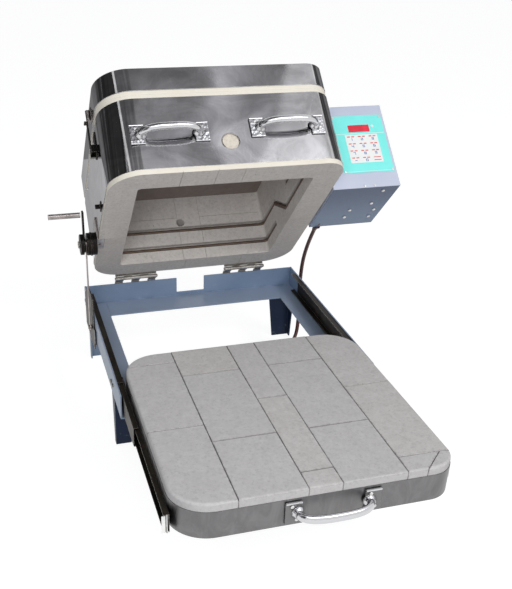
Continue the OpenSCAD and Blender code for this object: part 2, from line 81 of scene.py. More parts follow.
# ---------------------------------------------------------------- camera
def photo_camera():
    yaw, pitch, roll = (math.radians(a) for a in (17.76, 24.85, 1.79))
    ahead = Vector((math.sin(yaw) * math.cos(pitch), math.cos(yaw) * math.cos(pitch), -math.sin(pitch)))
    side = Vector((math.cos(yaw), -math.sin(yaw), 0))
    up = side.cross(ahead)
    x = side * math.cos(roll) + up * math.sin(roll)
    y = up * math.cos(roll) - side * math.sin(roll)
    data = bpy.data.cameras.new("photo_camera")
    data.sensor_fit = "HORIZONTAL"
    data.sensor_width = 36
    data.lens = 64.04
    camera = bpy.data.objects.new("photo_camera", data)
    bpy.context.scene.collection.objects.link(camera)
    m = Matrix((x, y, -ahead)).transposed().to_4x4()
    m.translation = Vector((-0.483, -1.7826, 1.1142)) - ORIGIN
    camera.matrix_world = m
    bpy.context.scene.camera = camera


photo_camera()


# ---------------------------------------------------------------- materials
class Shader:
    """A node tree with short helpers. Coordinates are in metres, in the hood's frame if hood is set."""

    def __init__(self, name, hood=False):
        self.material = bpy.data.materials.new(name)
        self.material.use_nodes = True
        self.tree = self.material.node_tree
        self.bsdf = self.tree.nodes["Principled BSDF"]
        where = self.node("ShaderNodeTexCoord").outputs["Object"]
        if hood:
            m = HOOD.inverted()
            mapping = self.node("ShaderNodeMapping")
            mapping.inputs["Location"].default_value = m.translation
            mapping.inputs["Rotation"].default_value = m.to_euler()
            self.link(where, mapping.inputs["Vector"])
            where = mapping.outputs["Vector"]
        self.where = where

    def node(self, kind, **settings):
        n = self.tree.nodes.new(kind)
        for k, v in settings.items():
            setattr(n, k, v)
        return n

    def link(self, a, b):
        self.tree.links.new(a, b)

    def put(self, value, socket):
        if isinstance(value, bpy.types.NodeSocket):
            self.link(value, socket)
        else:
            socket.default_value = value

    def math(self, op, a, b=0.0, clamp=False):
        n = self.node("ShaderNodeMath", operation=op, use_clamp=clamp)
        self.put(a, n.inputs[0])
        self.put(b, n.inputs[1])
        return n.outputs[0]

    def scaled(self, scale):
        n = self.node("ShaderNodeVectorMath", operation="MULTIPLY")
        self.link(self.where, n.inputs[0])
        n.inputs[1].default_value = scale
        return n.outputs[0]

    def noise(self, scale=1.0, detail=3.0, rough=0.55, stretch=(1, 1, 1), distortion=0.0):
        n = self.node("ShaderNodeTexNoise")
        self.link(self.scaled(stretch), n.inputs["Vector"])
        n.inputs["Scale"].default_value = scale
        n.inputs["Detail"].default_value = detail
        n.inputs["Roughness"].default_value = rough
        n.inputs["Distortion"].default_value = distortion
        return n.outputs["Fac"]

    def cells(self, scale, feature="F1", stretch=(1, 1, 1)):
        n = self.node("ShaderNodeTexVoronoi", feature=feature)
        self.link(self.scaled(stretch), n.inputs["Vector"])
        n.inputs["Scale"].default_value = scale
        return n.outputs["Distance"]

    def ramp(self, value, low, high, smooth=True):
        n = self.node("ShaderNodeMapRange", interpolation_type="SMOOTHSTEP" if smooth else "LINEAR")
        self.put(value, n.inputs["Value"])
        n.inputs["From Min"].default_value = low
        n.inputs["From Max"].default_value = high
        return n.outputs["Result"]

    def mix(self, fac, a, b):
        n = self.node("ShaderNodeMix", data_type="RGBA")
        self.put(fac, n.inputs["Factor"])
        for v, i in ((a, 6), (b, 7)):
            self.put((*v, 1) if isinstance(v, tuple) else v, n.inputs[i])
        return n.outputs[2]

    def lerp(self, fac, a, b):
        n = self.node("ShaderNodeMix", data_type="FLOAT")
        self.put(fac, n.inputs["Factor"])
        self.put(a, n.inputs[2])
        self.put(b, n.inputs[3])
        return n.outputs[0]

    def axis(self, i):
        n = self.node("ShaderNodeSeparateXYZ")
        self.link(self.where, n.inputs[0])
        return n.outputs[i]

    def attribute(self, name):
        return self.node("ShaderNodeAttribute", attribute_name=name).outputs["Fac"]

    def edges(self, radius=0.0015, low=0.02, high=0.25):
        """1 on sharp outer and inner edges, 0 on flats."""
        bevel = self.node("ShaderNodeBevel", samples=4)
        bevel.inputs["Radius"].default_value = radius
        geometry = self.node("ShaderNodeNewGeometry")
        dot = self.node("ShaderNodeVectorMath", operation="DOT_PRODUCT")
        self.link(bevel.outputs["Normal"], dot.inputs[0])
        self.link(geometry.outputs["Normal"], dot.inputs[1])
        return self.ramp(self.math("SUBTRACT", 1.0, dot.outputs["Value"]), low, high)

    def crevices(self, distance=0.01, low=0.35, high=0.9):
        # Ambient occlusion mask, 1 in crevices: the materials use it to paint shade.
        n = self.node("ShaderNodeAmbientOcclusion", samples=4)
        n.inputs["Distance"].default_value = distance
        return self.math("SUBTRACT", 1.0, self.ramp(n.outputs["AO"], low, high))

    def bump(self, height, distance, strength=1.0, below=None):
        n = self.node("ShaderNodeBump")
        self.link(height, n.inputs["Height"])
        n.inputs["Distance"].default_value = distance
        n.inputs["Strength"].default_value = strength
        if below is not None:
            self.link(below, n.inputs["Normal"])
        return n.outputs["Normal"]

    def finish(self, color, rough, metal=0.0, normal=None, coat=0.0, specular=0.5):
        self.put((*color, 1) if isinstance(color, tuple) else color, self.bsdf.inputs["Base Color"])
        self.put(rough, self.bsdf.inputs["Roughness"])
        self.put(metal, self.bsdf.inputs["Metallic"])
        self.put(specular, self.bsdf.inputs["Specular IOR Level"])
        self.put(coat, self.bsdf.inputs["Coat Weight"])
        if normal is not None:
            self.link(normal, self.bsdf.inputs["Normal"])
        return self.material


def srgb(r, g, b):
    return tuple((c / 255 / 12.92) if c < 10 else ((c / 255 + 0.055) / 1.055) ** 2.4 for c in (r, g, b))


def firebrick(name, hood, dull, clean, speckle=0.5, rubbed=0.0):
    """Soft insulating brick: fine grain, small pits, each brick a little different."""
    s = Shader(name, hood)
    tint = s.attribute("tint")
    grain = s.noise(900, 2, 0.6)
    patch = s.noise(14, 4, 0.6)
    rub = s.noise(55, 5, 0.65, distortion=0.4)
    fleck = s.noise(170, 4, 0.75)
    color = s.mix(patch, dull, clean)
    color = s.mix(s.math("MULTIPLY", s.ramp(rub, 0.35, 0.75), 0.4), color, tuple(min(1, c * 1.14) for c in clean))
    color = s.mix(s.math("MULTIPLY", s.ramp(fleck, 0.5, 0.7), 0.55), color, tuple(c * 0.74 for c in dull))
    color = s.mix(s.math("MULTIPLY", s.ramp(fleck, 0.48, 0.3), 0.3), color, tuple(min(1, c * 1.25) for c in clean))
    color = s.mix(s.math("MULTIPLY", tint, 0.16), color, srgb(186, 192, 204))
    if rubbed:
        joint = s.math("MULTIPLY", s.edges(0.003, 0.004, 0.09), s.ramp(s.noise(85, 5, 0.7), 0.38, 0.58))
        color = s.mix(s.math("MULTIPLY", joint, rubbed), color, srgb(118, 112, 112))
    speck = s.math("MULTIPLY", s.ramp(s.cells(340), 0.16, 0.05), s.ramp(s.noise(60), 0.45, 0.65))
    color = s.mix(s.math("MULTIPLY", speck, speckle), color, srgb(140, 122, 104))
    pit = s.math("MULTIPLY", s.ramp(s.cells(38), 0.055, 0.03), s.ramp(s.noise(23), 0.56, 0.6))
    color = s.mix(s.math("MULTIPLY", pit, 0.8), color, srgb(84, 76, 68))
    color = s.mix(s.math("MULTIPLY", s.attribute("seam"), 0.6), color, srgb(126, 122, 122))
    color = s.mix(s.math("MULTIPLY", s.attribute("edge"), s.lerp(patch, 0.05, 0.35)), color, srgb(206, 204, 204))
    color = s.mix(s.math("MULTIPLY", s.attribute("soot"), s.lerp(rub, 0.7, 1.0)), color, srgb(124, 110, 102))
    color = s.mix(s.attribute("band"), color, s.mix(patch, srgb(236, 228, 214), srgb(255, 250, 238)))
    height = s.math("ADD", s.math("MULTIPLY", grain, 0.35), s.math("MULTIPLY", rub, 0.4))
    height = s.math("SUBTRACT", height, s.math("MULTIPLY", pit, 2.0))
    return s.finish(color, 0.93, normal=s.bump(height, 0.0012, 0.55), specular=0.18)


def blue_paint(name, hood, light, dark, dust_and_top_light=0.45, under=None, coat=0.08):
    """Slate blue enamel on bent steel: soft patches, scuffs, bare metal and rust on a few edges.
    Faces that look up are paler with dust and painted top light; crevices get painted shade.
    Faces that look down get painted shade in the underside colours, where these are given."""
    s = Shader(name, hood)
    patch = s.noise(7, 3, 0.5)
    scuff = s.noise(60, 6, 0.72, (1, 3, 1))
    color = s.mix(s.ramp(patch, 0.3, 0.7), dark, light)
    color = s.mix(s.math("MULTIPLY", s.ramp(scuff, 0.58, 0.75), 0.25), color, srgb(178, 192, 212))
    up = s.node("ShaderNodeSeparateXYZ")
    s.link(s.node("ShaderNodeNewGeometry").outputs["Normal"], up.inputs[0])
    # Faces that look up are paler: dust, and painted top light.
    color = s.mix(s.math("MULTIPLY", s.ramp(up.outputs[2], 0.6, 0.95), dust_and_top_light), color, srgb(186, 197, 216))
    # Faces that look down are painted darker, most towards the box's front edge: painted shade.
    if under:
        underside_shade = s.mix(s.ramp(s.axis(1), 0.13, 0.30), under[0], under[1])
        color = s.mix(s.ramp(up.outputs[2], -0.3, -0.6), color, underside_shade)
    worn = s.math("MULTIPLY", s.edges(0.0012), s.ramp(s.noise(38, 5, 0.7), 0.42, 0.6))
    color = s.mix(s.math("MULTIPLY", worn, 0.75), color, s.mix(s.noise(90), srgb(196, 202, 208), srgb(150, 118, 84)))
    # Darker navy in crevices: painted shade.
    crevice_shade = s.math("MULTIPLY", s.crevices(0.012), s.ramp(s.noise(45, 4), 0.3, 0.7))
    color = s.mix(s.math("MULTIPLY", crevice_shade, 0.45), color, srgb(48, 56, 70))
    rough = s.lerp(scuff, 0.32, 0.5)
    return s.finish(color, rough, normal=s.bump(s.noise(420, 2), 0.0004, 0.25), coat=coat, specular=0.2 + 3 * coat)


def polished_shell():
    """Stainless sheet, hand polished: cloudy patches that are partly smears and partly painted reflection, fine swirls,
    a few rust stains near the rim.
    """
    s = Shader("shell_steel", True)
    cloud = s.noise(9, 5, 0.62, (1, 1, 1.5), 1.2)
    smear = s.noise(26, 6, 0.7, (1.6, 1.6, 0.5), 1.8)
    swirl = s.noise(160, 4, 0.7, (1, 1, 1), 3.0)
    # Light and dark clouds in the steel's colour: smears, and painted reflection.
    color = s.mix(s.ramp(cloud, 0.3, 0.72), srgb(164, 163, 165), srgb(200, 199, 201))
    color = s.mix(s.math("MULTIPLY", s.ramp(smear, 0.5, 0.75), 0.35), color, srgb(210, 209, 211))
    stain = s.math("MULTIPLY", s.ramp(s.noise(34, 4, 0.6), 0.66, 0.76), s.ramp(s.axis(2), 0.06, 0.0))
    color = s.mix(s.math("MULTIPLY", stain, 0.5), color, srgb(132, 96, 66))
    rough = s.math("ADD", s.math("MULTIPLY", s.ramp(smear, 0.4, 0.8), 0.05), 0.02)
    rough = s.math("ADD", rough, s.math("MULTIPLY", swirl, 0.02))
    normal = s.bump(s.noise(5, 2), 0.004, 0.12)
    normal = s.bump(swirl, 0.00015, 0.1, normal)
    return s.finish(color, rough, 1.0, normal)


def brushed_pan():
    """Tray pan: dull rolled steel with upright wipe marks."""
    s = Shader("pan_steel")
    wipe = s.noise(16, 6, 0.7, (2, 2, 0.9), 1.2)
    fine = s.noise(300, 3, 0.6, (1, 1, 0.4))
    color = s.mix(s.ramp(wipe, 0.3, 0.75), srgb(114, 113, 114), srgb(132, 131, 132))
    color = s.mix(s.math("MULTIPLY", s.ramp(s.noise(40, 5), 0.6, 0.75), 0.25), color, srgb(128, 110, 92))
    rough = s.lerp(wipe, 0.3, 0.48)
    return s.finish(color, rough, 1.0, s.bump(fine, 0.0002, 0.5, s.bump(s.noise(4, 2), 0.003, 0.3)))


def cast_chrome(name, bright, hollow_shade, hammered):
    """Polished casting, slightly lumpy, darker in its hollows as painted shade; the plates are hammered all over."""
    s = Shader(name)
    lump = s.noise(70, 3, 0.5)
    haze = s.noise(190, 5, 0.7)
    # Darker in hollows: painted shade.
    color = s.mix(s.crevices(0.006), bright, hollow_shade)
    rough = s.lerp(s.ramp(haze, 0.45, 0.8), 0.1, 0.3)
    normal = s.bump(lump, 0.0012, 0.45)
    if hammered:
        normal = s.bump(s.cells(150), 0.0022, hammered, normal)
    return s.finish(color, rough, 1.0, normal)


def slide_steel():
    """Drawer slides: zinc gone dark with oil, rubbed bright on the edges."""
    s = Shader("slide_steel")
    streak = s.noise(45, 6, 0.7, (1, 0.12, 2))
    color = s.mix(s.ramp(streak, 0.3, 0.72), srgb(20, 16, 13), srgb(70, 64, 55))
    rust = s.ramp(s.noise(26, 5, 0.7), 0.56, 0.72)
    color = s.mix(s.math("MULTIPLY", rust, 0.55), color, srgb(92, 58, 40))
    worn = s.edges(0.0016)
    color = s.mix(s.math("MULTIPLY", worn, s.ramp(streak, 0.25, 0.45)), color, srgb(186, 182, 176))
    rough = s.lerp(worn, s.lerp(streak, 0.35, 0.6), 0.3)
    return s.finish(color, rough, 0.85, s.bump(streak, 0.0004, 0.5))


def bright_zinc(name, low, high, hood=False):
    """Zinc plate: faint crystals, finger marks, and painted shade in crevices."""
    s = Shader(name, hood)
    grain = s.cells(220)
    color = s.mix(s.ramp(s.noise(30, 4), 0.3, 0.7), low, high)
    # Darker in crevices: painted shade.
    color = s.mix(s.math("MULTIPLY", s.crevices(0.005), 0.7), color, srgb(60, 52, 46))
    rough = s.math("ADD", s.math("MULTIPLY", grain, 0.25), 0.24)
    return s.finish(color, rough, 1.0, s.bump(grain, 0.0002, 0.35))


def blackened(name, low, high):
    """Turned steel, oil blackened, bare on the edges."""
    s = Shader(name, True)
    turn = s.noise(240, 4, 0.6, (6, 0.6, 0.6))
    color = s.mix(s.ramp(s.noise(35, 4), 0.35, 0.7), low, high)
    worn = s.math("MULTIPLY", s.edges(0.0012), s.ramp(s.noise(60, 4), 0.3, 0.6))
    color = s.mix(worn, color, srgb(150, 142, 130))
    return s.finish(color, s.lerp(turn, 0.3, 0.5), 0.8, s.bump(turn, 0.0003, 0.4))


def kiln_element():
    s = Shader("element_wire", True)
    color = s.mix(s.noise(60, 4), srgb(96, 80, 70), srgb(140, 122, 108))
    return s.finish(color, 0.55, 0.6, s.bump(s.noise(300), 0.0003, 0.5))


def panel_film():
    s = Shader("panel_film", True)
    color = s.mix(s.noise(24, 3), srgb(118, 240, 234), srgb(136, 250, 244))
    color = s.mix(s.math("MULTIPLY", s.edges(0.001), 0.4), color, srgb(226, 240, 240))
    return s.finish(color, s.lerp(s.noise(140, 3), 0.3, 0.42), normal=s.bump(s.noise(700), 0.0002, 0.3), coat=0.2)


def display_glass():
    s = Shader("display_glass", True)
    color = s.mix(s.ramp(s.noise(60, 2), 0.3, 0.7), srgb(196, 12, 44), srgb(222, 20, 54))
    material = s.finish(color, 0.18, normal=s.bump(s.noise(30), 0.0003, 0.2), coat=0.3)
    # Painted glow: the red window emits a faint light of its own.
    s.bsdf.inputs["Emission Color"].default_value = (*srgb(205, 10, 40), 1)
    s.bsdf.inputs["Emission Strength"].default_value = 0.25
    return material


def print_ink(name, rgb):
    s = Shader(name, True)
    color = s.mix(s.math("MULTIPLY", s.noise(500, 3), 0.35), srgb(*rgb), tuple(min(1, c * 1.5 + 0.05) for c in srgb(*rgb)))
    return s.finish(color, 0.45, normal=s.bump(s.noise(900), 0.0001, 0.2))


def cord_rubber(name="cord_rubber"):
    """Dark red-brown rubber, dusty, scuffed paler here and there."""
    s = Shader(name)
    color = s.mix(s.ramp(s.noise(16, 4), 0.3, 0.7), srgb(52, 22, 17), srgb(76, 34, 26))
    scuff = s.ramp(s.noise(28, 5, 0.7), 0.58, 0.72)
    color = s.mix(s.math("MULTIPLY", scuff, 0.45), color, srgb(150, 132, 122))
    return s.finish(color, s.lerp(scuff, 0.42, 0.7), normal=s.bump(s.noise(260, 3), 0.0004, 0.4))


MAT = {
    "tray_brick": firebrick("brick_tray", False, srgb(190, 186, 184), srgb(206, 203, 202), 0.6, 0.8),
    "hood_brick": firebrick("brick_hood", True, srgb(204, 198, 193), srgb(220, 215, 211)),
    "plug_brick": firebrick("brick_plug", True, srgb(214, 204, 190), srgb(236, 228, 216), 0.9),
    "stand_blue": blue_paint("stand_blue", False, srgb(134, 152, 178), srgb(118, 138, 166), 0.3),
    # The legs wear the stand's paint; these copies are darker as painted shade, a little for the rear left leg, deeply
    # for the others.
    "leg_painted_half_shade": blue_paint("leg_painted_half_shade", False, srgb(124, 140, 162), srgb(106, 124, 148), 0.3),
    "leg_painted_deep_shade": blue_paint("leg_painted_deep_shade", False, srgb(20, 36, 62), srgb(12, 26, 48), 0.1, None, 0),
    # The last two colours are painted shade for the box's underside.
    "box_blue": blue_paint("box_blue", True, srgb(204, 210, 228), srgb(192, 199, 220), 0,
                           (srgb(50, 76, 112), srgb(104, 128, 160))),
    "shell_steel": polished_shell(),
    "pan_steel": brushed_pan(),
    "chrome": cast_chrome("cast_chrome", srgb(204, 204, 207), srgb(84, 82, 80), 0.06),
    "chrome_plate": cast_chrome("chrome_plate", srgb(200, 200, 203), srgb(80, 78, 76), 0.25),
    "dull_plate": cast_chrome("dull_plate", srgb(122, 121, 122), srgb(60, 58, 56), 0.6),
    "slide_steel": slide_steel(),
    "zinc": bright_zinc("zinc_plate", srgb(150, 145, 138), srgb(190, 186, 180)),
    "screw": bright_zinc("screw_bright", srgb(205, 205, 205), srgb(235, 235, 233)),
    "arm": bright_zinc("arm_steel", srgb(148, 140, 138), srgb(196, 190, 188)),
    "black": blackened("drum_black", srgb(18, 16, 15), srgb(34, 30, 27)),
    "element": kiln_element(),
    "panel": panel_film(),
    "display": display_glass(),
    "key_white": print_ink("key_white", (240, 242, 242)),
    "key_red": print_ink("key_red", (208, 52, 40)),
    "key_blue": print_ink("key_blue", (40, 76, 164)),
    "cord": cord_rubber(),
}


# ---------------------------------------------------------------- mesh helpers
def piece(name, mesh, material, body, node=None, smooth=35, bevel=0.0, segments=2, mats=()):
    """Puts a mesh in the scene as a finished piece that rides on a body."""
    obj = bpy.data.objects.new(name, mesh)
    bpy.context.scene.collection.objects.link(obj)
    mesh.materials.clear()
    mesh.materials.append(MAT[material])
    for m in mats:
        mesh.materials.append(MAT[m])
    if bevel:
        mod = obj.modifiers.new("edge", "BEVEL")
        mod.width = bevel
        mod.segments = segments
        mod.limit_method = "ANGLE"
        mod.angle_limit = math.radians(32)
        mod.harden_normals = False
        bake(obj)
    for p in obj.data.polygons:
        p.use_smooth = True
    sharp = obj.modifiers.new("smooth", "NODES")
    sharp.node_group = smooth_group(smooth)
    bake(obj)
    flat = obj.modifiers.new("flat", "WEIGHTED_NORMAL")
    flat.keep_sharp = True
    bake(obj)
    if node:
        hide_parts(node)
    if body:
        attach(obj, body)
    return obj


def bake(obj):
    """Applies the modifiers to the mesh and removes them."""
    bpy.context.view_layer.update()
    depsgraph = bpy.context.evaluated_depsgraph_get()
    mesh = bpy.data.meshes.new_from_object(obj.evaluated_get(depsgraph))
    obj.modifiers.clear()
    old = obj.data
    obj.data = mesh
    mesh.name = obj.name
    if not old.users:
        bpy.data.meshes.remove(old)


_smooth = {}


def smooth_group(degrees):
    """Shade smooth by angle as a small Geometry Nodes group."""
    if degrees not in _smooth:
        g = bpy.data.node_groups.new(f"smooth_{degrees}", "GeometryNodeTree")
        g.interface.new_socket("Geometry", in_out="INPUT", socket_type="NodeSocketGeometry")
        g.interface.new_socket("Geometry", in_out="OUTPUT", socket_type="NodeSocketGeometry")
        a, z = g.nodes.new("NodeGroupInput"), g.nodes.new("NodeGroupOutput")
        angle = g.nodes.new("GeometryNodeInputMeshEdgeAngle")
        less = g.nodes.new("FunctionNodeCompare")
        less.data_type, less.operation = "FLOAT", "LESS_EQUAL"
        less.inputs[1].default_value = math.radians(degrees)
        faces = g.nodes.new("GeometryNodeSetShadeSmooth")
        faces.domain = "FACE"
        edges = g.nodes.new("GeometryNodeSetShadeSmooth")
        edges.domain = "EDGE"
        g.links.new(angle.outputs["Unsigned Angle"], less.inputs[0])
        g.links.new(a.outputs[0], faces.inputs["Geometry"])
        g.links.new(faces.outputs[0], edges.inputs["Geometry"])
        g.links.new(less.outputs[0], edges.inputs["Shade Smooth"])
        g.links.new(edges.outputs[0], z.inputs[0])
        _smooth[degrees] = g
    return _smooth[degrees]


def copy_of(node, dissolve=True):
    """A clean editable copy of a CAD node's mesh: merged, flat faces joined."""
    bm = bmesh.new()
    bm.from_mesh(NODES[node].data)
    bmesh.ops.remove_doubles(bm, verts=bm.verts, dist=1e-6)
    if dissolve:
        bmesh.ops.dissolve_limit(bm, angle_limit=math.radians(0.6), verts=bm.verts, edges=bm.edges)
    mesh = bpy.data.meshes.new(node + "_copy")
    bm.to_mesh(mesh)
    bm.free()
    return mesh


def shift_points(mesh, move, m):
    """Moves the points of a copy by a rule written in the frame m."""
    back = m.inverted()
    for v in mesh.vertices:
        v.co = m @ Vector(move(*(back @ v.co)))


def dress(node, material, bevel=0.0006, segments=2, smooth=35, move=None, m=DRAWN):
    """A copy of a CAD node with its edges rounded, and fitted closer to the photograph where move is given."""
    mesh = copy_of(node)
    if move:
        shift_points(mesh, move, m)
    return piece(node + "_finished", mesh, material, BODY[node], node, smooth, bevel, segments)


def tight_corner(x, y, z):
    """Moves points of the front right bend onto a tighter one; Y runs from the front face."""
    u, v = x - (HALF - CORNER), CORNER - y
    far = math.hypot(u, v)
    if u <= 0 or v <= 0 or far < 0.85 * CORNER:
        return x, y, z
    c, s, lean = u / far, v / far, CORNER - RIGHT_CORNER
    if s * CORNER < lean * c:
        reach = CORNER / c
    elif c * CORNER < lean * s:
        reach = CORNER / s
    else:
        b = lean * (c + s)
        reach = b + math.sqrt(b * b - 2 * lean ** 2 + RIGHT_CORNER ** 2)
    k = (reach - CORNER + far) / far
    return HALF - CORNER + u * k, CORNER - v * k, z


def spread(x, y, z):
    """Slab and pan have crept outwards towards their front right corner."""
    x, y, z = tight_corner(x, y, z)
    share = max(0, 1 - y / 0.42) * (x + HALF) / TRAY_W * (z - TRAY_TOP + TRAY_H) / TRAY_H
    return x + CREEP * share, y, z


def mesh_of(bm, name="mesh"):
    bmesh.ops.recalc_face_normals(bm, faces=bm.faces)
    mesh = bpy.data.meshes.new(name)
    bm.to_mesh(mesh)
    bm.free()
    return mesh


def add_box(bm, low, high, m=Matrix.Identity(4), bevel=0.0, segments=2):
    low, high = Vector(low), Vector(high)
    made = bmesh.ops.create_cube(bm, size=1)["verts"]
    for v in made:
        v.co = m @ Vector([a + (b - a) * (c + 0.5) for a, b, c in zip(low, high, v.co)])
    if bevel:
        edges = {e for v in made for e in v.link_edges}
        bmesh.ops.bevel(bm, geom=list(edges), offset=bevel, segments=segments, profile=0.5, affect="EDGES")


def lathe(bm, profile, m, steps=24, caps=True):
    """Turns (radius, height) points about Z and places the result by m."""
    rings = []
    for r, z in profile:
        rings.append([bm.verts.new(m @ Vector((r * math.cos(2 * math.pi * i / steps),
                                               r * math.sin(2 * math.pi * i / steps), z))) for i in range(steps)])
    for a, b in zip(rings, rings[1:]):
        for i in range(steps):
            bm.faces.new((a[i], a[(i + 1) % steps], b[(i + 1) % steps], b[i]))
    if caps:
        bm.faces.new(rings[0][::-1])
        bm.faces.new(rings[-1])


def axis_frame(at, direction, m=Matrix.Identity(4), turn=0.0):
    """A frame whose Z runs along a direction."""
    q = Vector(direction).to_track_quat("Z", "Y").to_matrix().to_4x4()
    return m @ Matrix.Translation(at) @ q @ Matrix.Rotation(turn, 4, "Z")


def add_screw(bm, m, r=0.0032, h=0.0018, slot="cross"):
    """Pan head with a cross recess, standing on the surface at m's origin."""
    steps = 20
    profile = [(r, -0.0005), (r, h * 0.25), (r * 0.93, h * 0.62), (r * 0.74, h * 0.88), (r * 0.5, h)]
    if slot == "hex":
        profile = [(r * 1.15, -0.0005), (r * 1.15, 0), (r, h * 0.1), (r, h * 0.8), (r * 0.85, h)]
        steps = 6
    lathe(bm, profile, m, steps)
    if slot == "cross":
        for a in (0, math.pi / 2):
            add_box(bm, (-r * 0.42, -r * 0.09, h * 0.98), (r * 0.42, r * 0.09, h * 1.04), m @ Matrix.Rotation(a, 4, "Z"))


def sweep(bm, points, shape, up, closed_ends=True):
    """Carries a flat outline (a function of index giving (u, v) points) along points without twist."""
    n = len(points)
    rings = []
    side = None
    for i, p in enumerate(points):
        a, b = points[max(i - 1, 0)], points[min(i + 1, n - 1)]
        t = (b - a).normalized()
        side = (up if side is None else side)
        side = (side - t * side.dot(t)).normalized()
        other = t.cross(side)
        rings.append([bm.verts.new(p + side * u + other * v) for u, v in shape(i)])
    k = len(rings[0])
    for a, b in zip(rings, rings[1:]):
        for j in range(k):
            bm.faces.new((a[j], a[(j + 1) % k], b[(j + 1) % k], b[j]))
    if closed_ends:
        bm.faces.new(rings[0][::-1])
        bm.faces.new(rings[-1])


def curve_through(points, steps):
    """Points of a Catmull-Rom spline."""
    out = []
    for s in range(len(points) - 1):
        a, b, c, d = (points[min(max(s + k, 0), len(points) - 1)] for k in (-1, 0, 1, 2))
        for j in range(steps):
            t = j / steps
            out.append(0.5 * (2 * b + (c - a) * t + (2 * a - 5 * b + 4 * c - d) * t * t
                              + (3 * b - a - 3 * c + d) * t ** 3))
    return out + [points[-1]]


# ---------------------------------------------------------------- mains cord
CORD_R = 0.004
COIL_C, COIL_R, COIL_PITCH, COIL_LAYER = Vector((0.069, 0.056, CORD_R + 0.0001)), 0.054, 0.0086, 0.0085
COIL_A0, COIL_TURNS = 100, 4
GLAND_TIP = Vector((0.2745, HOOD_Y0 + 0.098 + 0.182 + 0.026, RIM_Z + 0.004))


def mains_cord():
    """One cord from the gland to the plug: it hangs to the floor, runs under the tray and lies in a coil."""
    def coil_at(a):
        r = COIL_R - COIL_PITCH * min(a, 360 * COIL_TURNS - a) / 360
        t = math.radians(COIL_A0 + a)
        u = min(max((a - 180 * COIL_TURNS + 90) / 180, 0), 1)
        return COIL_C + Vector((r * math.cos(t), r * math.sin(t), COIL_LAYER * u * u * (3 - 2 * u)))

    def swung(p):
        return HOOD @ (p - Vector((0, HOOD_Y0, RIM_Z))) + ORIGIN

    run = Vector((-math.sin(math.radians(COIL_A0)), math.cos(math.radians(COIL_A0)), 0))
    hand = [(276, 137, 343), (277, 184, 279), (278, 213, 224), (278, 224, 170), (277, 223, 110),
            (274, 214, 55), (262, 198, 20), (236, 178, 6), (196, 152, 4.1), (150, 132, 4.1), (104, 119, 4.1)]
    lead = [swung(GLAND_TIP + Vector((0, 0.006, 0)))] + [Vector(p) / 1000 for p in hand] + [coil_at(0) - 0.012 * run]
    path = [swung(GLAND_TIP)] + curve_through(lead, 8)
    path += [coil_at(0) - 0.006 * run] + [coil_at(a) for a in range(0, 360 * COIL_TURNS + 1, 9)]
    path += [coil_at(360 * COIL_TURNS) + 0.010 * run, coil_at(360 * COIL_TURNS) + 0.018 * run]
    path = [p - ORIGIN for p in path]
    bm = bmesh.new()

    def ring(i):
        r = CORD_R * (1.18 - 0.16 * min(max((i - 50) / 20, 0), 1))
        return [(r * math.cos(2 * math.pi * j / 16), r * math.sin(2 * math.pi * j / 16)) for j in range(16)]

    sweep(bm, path, ring, Vector((1, 0, 0)))
    cord = piece("mains_cord", mesh_of(bm), "cord", None, smooth=60)
    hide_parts("cord_lead", "cord_coil")
    length = sum((b - a).length for a, b in zip(path, path[1:]))
    return cord, path, length, run


cord, cord_path, cord_length, coil_run = mains_cord()


# ---------------------------------------------------------------- hood
def hood_brick_marks(obj):
    """Face attributes that the brick material reads: pale bands outside, soot on the faces overhead; seam and tint stay
    at 0.
    """
    to_hood = HOOD.inverted()
    mesh = obj.data
    soot = mesh.attributes.new("soot", "FLOAT", "FACE")
    band = mesh.attributes.new("band", "FLOAT", "FACE")
    seam = mesh.attributes.new("seam", "FLOAT", "FACE")
    tint = mesh.attributes.new("tint", "FLOAT", "FACE")
    turn = to_hood.to_3x3()
    for p in mesh.polygons:
        c, n = to_hood @ p.center, turn @ p.normal
        dx = max(abs(c.x) - (HALF - CORNER), 0)
        dy = max(abs(c.y - HOOD_D / 2) - (HOOD_D / 2 - CORNER), 0)
        outside = math.hypot(dx, dy) > CORNER - 0.006 and abs(n.z) < 0.6
        band.data[p.index].value = 1.0 if outside else 0.0
        tint.data[p.index].value = 0.0
        seam.data[p.index].value = 0.0
        soot.data[p.index].value = 1.0 if n.z < -0.7 and c.z > 0.15 else 0.0


# Brick joints of the hood: plane across an axis, and the box of wall it is cut into (hood frame, mm).
RIM_JOINTS = [
    ("x", -102.5, (-1, 64), (-2, 2)), ("x", -30.5, (-1, 64), (-2, 2)), ("x", 26.5, (-1, 64), (-2, 2)),
    ("x", -23.5, (453, 517), (-2, 2)), ("x", 118, (453, 517), (-2, 2)),
    ("x", -30, (452.7, 457), (-2, 166)), ("x", 26.5, (452.7, 457), (-2, 166)),
    ("x", -102.5, (59, 62.5), (-2, 166)), ("x", 26.5, (59, 62.5), (-2, 166)),
]
SIDE_JOINTS = [("y", 292, (-248, -184), (-2, 2)), ("y", 262, (184, 248), (-2, 2)),
               ("y", 292, (-190, -184), (-2, 114)), ("y", 262, (184, 189), (-2, 114))]
COURSES = [((-190, -30), (453, 457), 111), ((26.5, 190), (453, 457), 111), ((-190, 190), (59, 62.5), 113),
           ((-189.5, -185), (60, 456), 113), ((185, 189.5), (60, 456), 115)]


